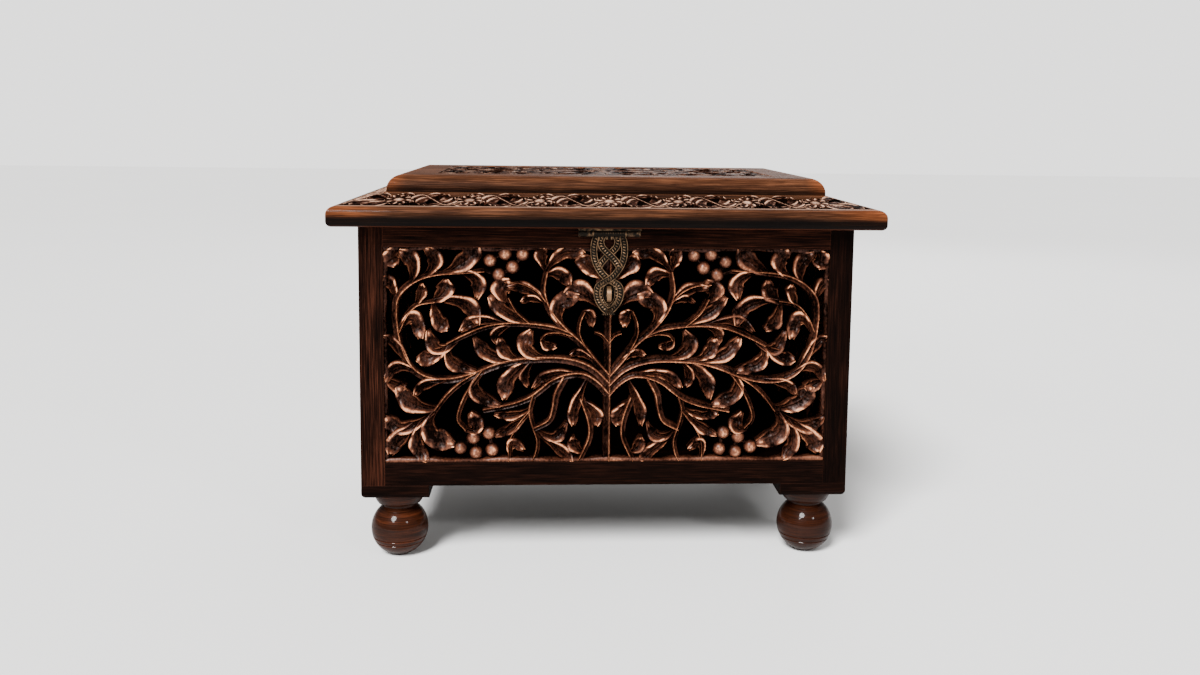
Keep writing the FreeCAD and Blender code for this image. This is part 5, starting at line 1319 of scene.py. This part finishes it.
def grain_wood(name, axis, dark, light, roughness, coat=0):
    """Stained, lacquered wood whose grain runs along an axis: long fibres over a broad drifting figure.

    Along two axes it runs round in rings, as the marks of turning do.
    Edges are worn lighter.
    """
    material, tree, shader = shader_of(name)
    fibre_way, figure_way = (
        scaled_place(tree, [scale * stretch if letter in axis else scale for letter in "XYZ"])
        for scale, stretch in ((FIBRE_SCALE, FIBRE_STRETCH), (FIGURE_SCALE, FIGURE_STRETCH))
    )
    fibres = noise(tree, fibre_way, 1, FIBRE_DETAIL)
    figure = noise(tree, figure_way, 1, FIGURE_DETAIL, FIGURE_SWIRL)
    pores = noise(tree, fibre_way, PORE_SCALE, PORE_DETAIL)
    mixed = reckon(tree, scaled(tree, fibres, FIBRE_SHARE), scaled(tree, figure, FIGURE_SHARE))
    middle = Vector(dark).lerp(Vector(light), GRAIN_MIDDLE_SHARE)
    colour = ramp(tree, mixed, list(zip(GRAIN_STOPS, (dark, middle, light))))
    colour = mix(tree, 1, colour, grey_ramp(tree, pores, PORE_STOPS), "MULTIPLY")
    rounded = node(tree, "ShaderNodeBevel", {"Radius": EDGE_RADIUS}, samples=EDGE_SAMPLES).outputs["Normal"]
    facing = node(tree, "ShaderNodeNewGeometry", {}).outputs["True Normal"]
    alike = node(tree, "ShaderNodeVectorMath", {0: rounded, 1: facing}, operation="DOT_PRODUCT")
    edge = grey_ramp(tree, alike.outputs["Value"], EDGE_STOPS)
    worn = reckon(tree, edge, scaled(tree, figure, EDGE_PATCHES), "MULTIPLY", clamp=True)
    colour = mix(tree, worn, colour, Vector(light) * EDGE_GAIN)
    tree.links.new(colour, shader.inputs["Base Color"])
    rough_stops = [(place, roughness + change) for place, change in GRAIN_ROUGH_STOPS]
    tree.links.new(grey_ramp(tree, mixed, rough_stops), shader.inputs["Roughness"])
    shader.inputs["Specular IOR Level"].default_value = GRAIN_SHEEN
    shader.inputs["Coat Weight"].default_value = coat
    shader.inputs["Coat Roughness"].default_value = COAT_ROUGHNESS
    bump(tree, shader, reckon(tree, fibres, pores), GRAIN_BUMP_STRENGTH, rounded)
    return material


def carved_wood(name, finish, lid=False):
    """Carved wood: dark stain in the recesses, rubbed through to lighter wood on the ridges, whose brightest
    crests also paint their highlights. On the lid the ridge colours are greyed as a painted sheen.
    """
    material, tree, shader = shader_of(name)
    patch = noise(tree, object_place(tree), PATCH_SCALE, PATCH_DETAIL)
    scratch = noise(tree, scaled_place(tree, SCRATCH_SCALE), 1, SCRATCH_DETAIL)
    loss = reckon(tree, reckon(tree, patch, scratch), 1, "SUBTRACT")
    worn = reckon(tree, rubbed_place(tree), scaled(tree, loss, WEAR_GAIN), clamp=True)
    if lid:
        # The lid's ridge and crest colours are greyed towards a painted sheen.
        stops, ridge, crest, sheen = LID_WEAR_STOPS, finish.lid_ridge_and_sheen, finish.lid_crest_and_sheen, LID_SHEEN
    else:
        stops, ridge, crest, sheen = PANEL_WEAR_STOPS, finish.copper, finish.tan, CARVED_SHEEN
    colour = ramp(tree, worn, list(zip(stops, (finish.stain, finish.mid_brown, ridge, crest))))
    tree.links.new(colour, shader.inputs["Base Color"])
    tree.links.new(grey_ramp(tree, scratch, CARVED_ROUGH_STOPS), shader.inputs["Roughness"])
    tree.links.new(scaled(tree, worn, sheen), shader.inputs["Specular IOR Level"])
    bump(tree, shader, scratch, SCRATCH_STRENGTH)
    return material


def inside_wood(name, finish):
    """Bare dark-stained wood, for the boards inside."""
    return grain_wood(name, "X", finish.stain, finish.frame_painted_shade_light, INSIDE_ROUGHNESS)


def back_wood(name, finish):
    """The back board: grained outside, and dark stained on the face that looks into the box."""
    material = grain_wood(name, "X", finish.frame_dark, finish.frame_light, FRAME_ROUGHNESS)
    inner = within(material.node_tree, "Y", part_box("panel_back")[1].y - BACK_SKIN)
    stain_where(material, inner, grey(INSIDE_SHADE), "MULTIPLY")
    material.node_tree.nodes["Principled BSDF"].inputs["Specular IOR Level"].default_value = 0
    return material


def lid_wood(name, axis, finish, coat):
    """The grained wood of the lid."""
    return grain_wood(name, axis, finish.lid_dark, finish.lid_light, LID_ROUGHNESS, coat)


def moulding_wood(name, wall, finish, lid):
    """The lid's mouldings: rubbed ends that also paint highlights, painted shade low on the edge and a
    painted highlight high on it, a painted floor reflection along the lower arris, and a lip by the border's
    dark ground rubbed lighter and painted as a highlight line.
    """
    long_side = wall in LONG_WALLS
    along, across = "XY" if long_side else "YX"
    material = lid_wood(name, along, finish, MOULDING_COAT)
    tree = material.node_tree
    edge = -MOULDING_BOX[0].y if long_side else -MOULDING_BOX[0].x
    end = -MOULDING_BOX[0].x if long_side else -MOULDING_BOX[0].y
    rub_and_highlight_ends(material, along, end, MOULDING_RUB_REACH)
    low = MOULDING_BOX[0].z
    upper = above(tree, low + lid.edge_thickness / 2)
    face = beyond(tree, across, edge - lid.edge_radius)
    # Painted shade low on the edge's face, painted highlight high on it.
    paint_shade_and_highlight_by_height(material, *(low + share * lid.edge_thickness for share in EDGE_SHADE_SHARES), face)
    under = without(tree, 1, either(tree, upper, face))
    stain_where(material, under, grey(INSIDE_SHADE), "MULTIPLY")
    # A thin painted reflection of the floor along the lower arris.
    painted_floor_reflection_line = without(tree, face, above(tree, low + PAINTED_REFLECTION_LINE))
    stain_where(material, painted_floor_reflection_line, finish.mid_brown)
    ground = between(tree, across, edge - lid.channel_end, edge - lid.channel_start)
    stain_where(material, scaled(tree, upper, ground), finish.stain)
    # The outer lip is rubbed lighter and painted as a highlight line.
    outer_lip_rub_and_highlight = between(tree, across, edge - lid.channel_start, edge - lid.edge_radius)
    stain_where(material, scaled(tree, upper, outer_lip_rub_and_highlight), finish.lid_ridge_and_sheen)
    return material


def board_wood(name, finish, lid):
    """The raised board: rubbed ends that also paint highlights, painted shade on its lower edge and a
    painted highlight on its top, and a dark ground under the carved field.
    """
    low, high = BOARD_BOX
    step = lid.carving_depth * BOARD_STEP_SHARE
    material = lid_wood(name, "X", finish, BOARD_COAT)
    rub_and_highlight_ends(material, "X", high.x, BOARD_RUB_REACH)
    tree = material.node_tree
    upper = above(tree, low.z + lid.carving_depth)
    # Painted shade low on the board's edge, painted highlight on its top.
    paint_shade_and_highlight_by_height(material, low.z - step, high.z, upper)
    stain_where(material, without(tree, 1, upper), grey(INSIDE_SHADE), "MULTIPLY")
    across = within(tree, "X", high.x - lid.field_inset)
    along = within(tree, "Y", high.y - lid.field_inset)
    sunk = without(tree, upper, above(tree, high.z - step))
    stain_where(material, scaled(tree, scaled(tree, across, along), sunk), finish.stain)
    return material


def brass_finish(tree, shader, finish, worn, stops, rough_stops, fine):
    """Tarnish that gives way to smoother brass as it is worn, under fine scratches."""
    colour = ramp(tree, worn, list(zip(stops, (finish.tarnish, finish.brass))))
    tree.links.new(colour, shader.inputs["Base Color"])
    tree.links.new(grey_ramp(tree, worn, rough_stops), shader.inputs["Roughness"])
    shader.inputs["Metallic"].default_value = BRASS_METAL
    bump(tree, shader, fine, BRASS_BUMP_STRENGTH)


def aged_brass(name, finish, shine):
    """Brass with cloudy tarnish and fine scratches, the brighter the more it shines."""
    material, tree, shader = shader_of(name)
    cloud = noise(tree, object_place(tree), CLOUD_SCALE, CLOUD_DETAIL, CLOUD_SWIRL)
    fine = noise(tree, object_place(tree), FINE_SCALE, FINE_DETAIL)
    worn = reckon(tree, cloud, scaled(tree, fine, FINE_SHARE))
    stops = [stop - shine for stop in AGED_STOPS]
    brass_finish(tree, shader, finish, worn, stops, AGED_ROUGH_STOPS, fine)
    return material


def braided_brass(finish):
    """Cast brass, dark in the cuts and rubbed bright on the strands."""
    material, tree, shader = shader_of("braided_brass")
    cloud = noise(tree, object_place(tree), BRAID_CLOUD_SCALE, BRAID_CLOUD_DETAIL)
    fine = noise(tree, object_place(tree), BRAID_FINE_SCALE, FINE_DETAIL)
    loss = scaled(tree, reckon(tree, cloud, BRAID_CLOUD_MIDDLE, "SUBTRACT"), BRAID_WEAR_GAIN)
    worn = reckon(tree, rubbed_place(tree), loss, clamp=True)
    brass_finish(tree, shader, finish, worn, BRAID_STOPS, BRAID_ROUGH_STOPS, fine)
    return material


def dress(name, material):
    """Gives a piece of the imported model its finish."""
    made = frame["nodes"][name]
    made.data.materials.clear()
    made.data.materials.append(material)


class CHEST_OT_woods(Operator):
    """Finish the posts, rails, boards, mouldings, pads and feet"""

    bl_idname = "chest.woods"
    bl_label = "Finish the woods"

    def execute(self, context):
        finish = context.scene.chest_finish
        dark = finish.frame_dark
        # The right posts and feet take darker grain than the left ones, painted as shade.
        post_lights = {"left": finish.frame_light, "right": finish.frame_painted_shade_light}
        post_woods = {
            side: grain_wood("post_wood_" + side, "Z", dark, light, FRAME_ROUGHNESS)
            for side, light in post_lights.items()
        }
        foot_lights = {"left": finish.foot_light, "right": finish.foot_painted_shade_light}
        foot_woods = {
            side: grain_wood("turned_wood_" + side, "XY", finish.foot_dark, light, FOOT_ROUGHNESS, FOOT_COAT)
            for side, light in foot_lights.items()
        }
        # The bottom rails and pads take the darker grain, painted as shade; the top rails keep the lighter
        # one.
        top_woods, painted_shade_bottom_woods = (
            {axis: grain_wood(name + axis.lower(), axis, dark, light, FRAME_ROUGHNESS) for axis in "XY"}
            for name, light in (("top_rail_wood_", finish.frame_light), ("rail_wood_", finish.frame_painted_shade_light))
        )
        lid = context.scene.chest_lid
        mouldings = [moulding_wood("lid_wood_" + wall, wall, finish, lid) for wall in WALLS[:2]]
        for corner in CORNERS:
            side = corner.split("_")[1]
            dress("post_" + corner, post_woods[side])
            dress("pad_" + corner, painted_shade_bottom_woods["X"])
            dress("foot_" + corner, foot_woods[side])
        for wall in WALLS:
            axis = "X" if wall in LONG_WALLS else "Y"
            dress("rail_top_" + wall, top_woods[axis])
            dress("rail_bottom_" + wall, painted_shade_bottom_woods[axis])
            dress("lid_moulding_" + wall, mouldings[WALLS.index(wall) % 2])
        dress("lid_raised_board", board_wood("board_wood", finish, lid))
        dress("floor_board", inside_wood("inside_wood", finish))
        dress("panel_back", back_wood("back_wood", finish))
        return {"FINISHED"}


class CHEST_OT_brasses(Operator):
    """Finish the hinges, screws, hasp leaf and staple"""

    bl_idname = "chest.brasses"
    bl_label = "Finish the brasses"

    def execute(self, context):
        finish = context.scene.chest_finish
        dull = aged_brass("aged_brass", finish, DULL_SHINE)
        bright = aged_brass("rubbed_highlit_brass", finish, BRIGHT_SHINE)
        tree = bright.node_tree
        # The staple's eye is left bright only along its front middle, rubbed and painted as a highlight; the
        # rest is tarnished.
        flange = reckon(tree, object_axis(tree, "Y"), EYE_START, "GREATER_THAN")
        stain_where(bright, either(tree, flange, beyond(tree, "X", EYE_RUB_AND_HIGHLIGHT_HALF)), finish.tarnish)
        for side in ("left", "right"):
            for part in ("base_leaf", "lid_leaf", "pin"):
                dress(f"hinge_{side}_{part}", dull)
        for name in ("hinge_base_screws", "hinge_lid_screws", "hasp_pin", "hasp_lid_leaf", "hasp_screws"):
            dress(name, dull)
        dress("hasp_staple", bright)
        return {"FINISHED"}


class CHEST_OT_stage(Operator):
    """Set up the camera, the pale floor and the soft studio light"""

    bl_idname = "chest.stage"
    bl_label = "Set up the studio"

    def execute(self, context):
        settings = context.scene.chest_stage
        scene = context.scene
        camera = bpy.data.cameras.new("photo_camera")
        camera.lens = settings.lens
        camera.sensor_width = SENSOR_WIDTH
        camera.sensor_fit = "HORIZONTAL"
        camera.shift_x, camera.shift_y = settings.shift
        camera.clip_start = NEAREST_SIGHT
        shot = bpy.data.objects.new("photo_camera", camera)
        shot.matrix_world = camera_matrix(settings)
        scene.collection.objects.link(shot)
        scene.camera = shot
        pale_floor(scene, settings)
        key_light(scene, settings)
        for name, spot, side, power in STUDIO_LIGHTS:
            soft_light(scene, name, Vector(spot), side, power)
        world = bpy.data.worlds.new("pale_room")
        world.use_nodes = True
        pale_room(world.node_tree, settings)
        scene.world = world
        return {"FINISHED"}


def pale_room(tree, settings):
    """A dim even light from all round, which the camera itself sees as a pale wall."""
    dim = tree.nodes["Background"]
    dim.inputs["Color"].default_value = (*settings.floor_colour, 1)
    dim.inputs["Strength"].default_value = settings.sky
    colour = {"Color": (*settings.floor_colour, 1), "Strength": settings.wall}
    wall = node(tree, "ShaderNodeBackground", colour).outputs[0]
    seen = node(tree, "ShaderNodeLightPath", {}).outputs["Is Camera Ray"]
    mixed = node(tree, "ShaderNodeMixShader", {0: seen, 1: dim.outputs[0], 2: wall})
    tree.links.new(mixed.outputs[0], tree.nodes["World Output"].inputs["Surface"])


def camera_matrix(settings):
    """The camera's place and turn, from its yaw, its pitch and its roll."""
    right = Vector((math.cos(settings.yaw), -math.sin(settings.yaw), 0))
    ahead = Vector((
        math.sin(settings.yaw) * math.cos(settings.pitch),
        math.cos(settings.yaw) * math.cos(settings.pitch),
        -math.sin(settings.pitch),
    ))
    down = ahead.cross(right)
    across = right * math.cos(settings.roll) + down * math.sin(settings.roll)
    fall = down * math.cos(settings.roll) - right * math.sin(settings.roll)
    turn = Matrix((across, -fall, -ahead)).transposed().to_4x4()
    return Matrix.Translation(settings.camera_place) @ turn


def pale_floor(scene, settings):
    """A plain square floor at level nought, with faint patches."""
    half = settings.floor_size / 2
    mesh = bpy.data.meshes.new("floor")
    corners = [(-half, -half, 0), (half, -half, 0), (half, half, 0), (-half, half, 0)]
    mesh.from_pydata(corners, [], [(0, 1, 2, 3)])
    material, tree, shader = shader_of("pale_floor")
    patch = noise(tree, object_place(tree), FLOOR_PATCH_SCALE, FLOOR_PATCH_DETAIL)
    shade = tuple(FLOOR_PATCH_SHADE * level for level in settings.floor_colour)
    colour = ramp(tree, patch, list(zip(FLOOR_STOPS, (shade, settings.floor_colour))))
    tree.links.new(colour, shader.inputs["Base Color"])
    shader.inputs["Roughness"].default_value = FLOOR_ROUGHNESS
    mesh.materials.append(material)
    floor = bpy.data.objects.new("floor", mesh)
    scene.collection.objects.link(floor)


def key_light(scene, settings):
    """A broad even light from the front, so that the floor is as pale far off as it is near."""
    light = bpy.data.lights.new("key_light", "SUN")
    light.energy = settings.sun
    light.angle = settings.sun_angle
    lamp = bpy.data.objects.new("key_light", light)
    aim = -Vector(settings.sun_place)
    lamp.matrix_world = aim.to_track_quat("-Z", "Y").to_matrix().to_4x4()
    scene.collection.objects.link(lamp)


def soft_light(scene, name, spot, side, power):
    """A square soft light that looks at the middle of the chest."""
    light = bpy.data.lights.new(name, "AREA")
    light.size = side
    light.energy = power
    lamp = bpy.data.objects.new(name, light)
    aim = (cad_low + cad_high) / 2 - spot
    lamp.matrix_world = Matrix.Translation(spot) @ aim.to_track_quat("-Z", "Y").to_matrix().to_4x4()
    scene.collection.objects.link(lamp)


class CHEST_PT_sidebar(Panel):
    """Lists the steps that dress the chest"""

    bl_idname = "CHEST_PT_sidebar"
    bl_label = "Carved chest"
    bl_space_type = "VIEW_3D"
    bl_region_type = "UI"
    bl_category = "Chest"

    def draw(self, context):
        for step in STEPS:
            self.layout.operator(step.bl_idname)


STEPS = (
    CHEST_OT_panels, CHEST_OT_lid_border, CHEST_OT_lid_field, CHEST_OT_hasp, CHEST_OT_woods,
    CHEST_OT_brasses, CHEST_OT_stage,
)
GROUPS = {
    "chest_panels": CHEST_PG_panels,
    "chest_lid": CHEST_PG_lid,
    "chest_hasp": CHEST_PG_hasp,
    "chest_finish": CHEST_PG_finish,
    "chest_stage": CHEST_PG_stage,
}


def register():
    for name, group in GROUPS.items():
        bpy.utils.register_class(group)
        setattr(bpy.types.Scene, name, PointerProperty(type=group))
    for step in (*STEPS, CHEST_PT_sidebar):
        bpy.utils.register_class(step)


def unregister():
    for step in (CHEST_PT_sidebar, *STEPS[::-1]):
        bpy.utils.unregister_class(step)
    for name, group in GROUPS.items():
        delattr(bpy.types.Scene, name)
        bpy.utils.unregister_class(group)


def main():
    register()
    bpy.ops.chest.panels()
    bpy.ops.chest.lid_border()
    bpy.ops.chest.lid_field()
    bpy.ops.chest.hasp()
    bpy.ops.chest.woods()
    bpy.ops.chest.brasses()
    bpy.ops.chest.stage()


if __name__ == "__main__":
    main()
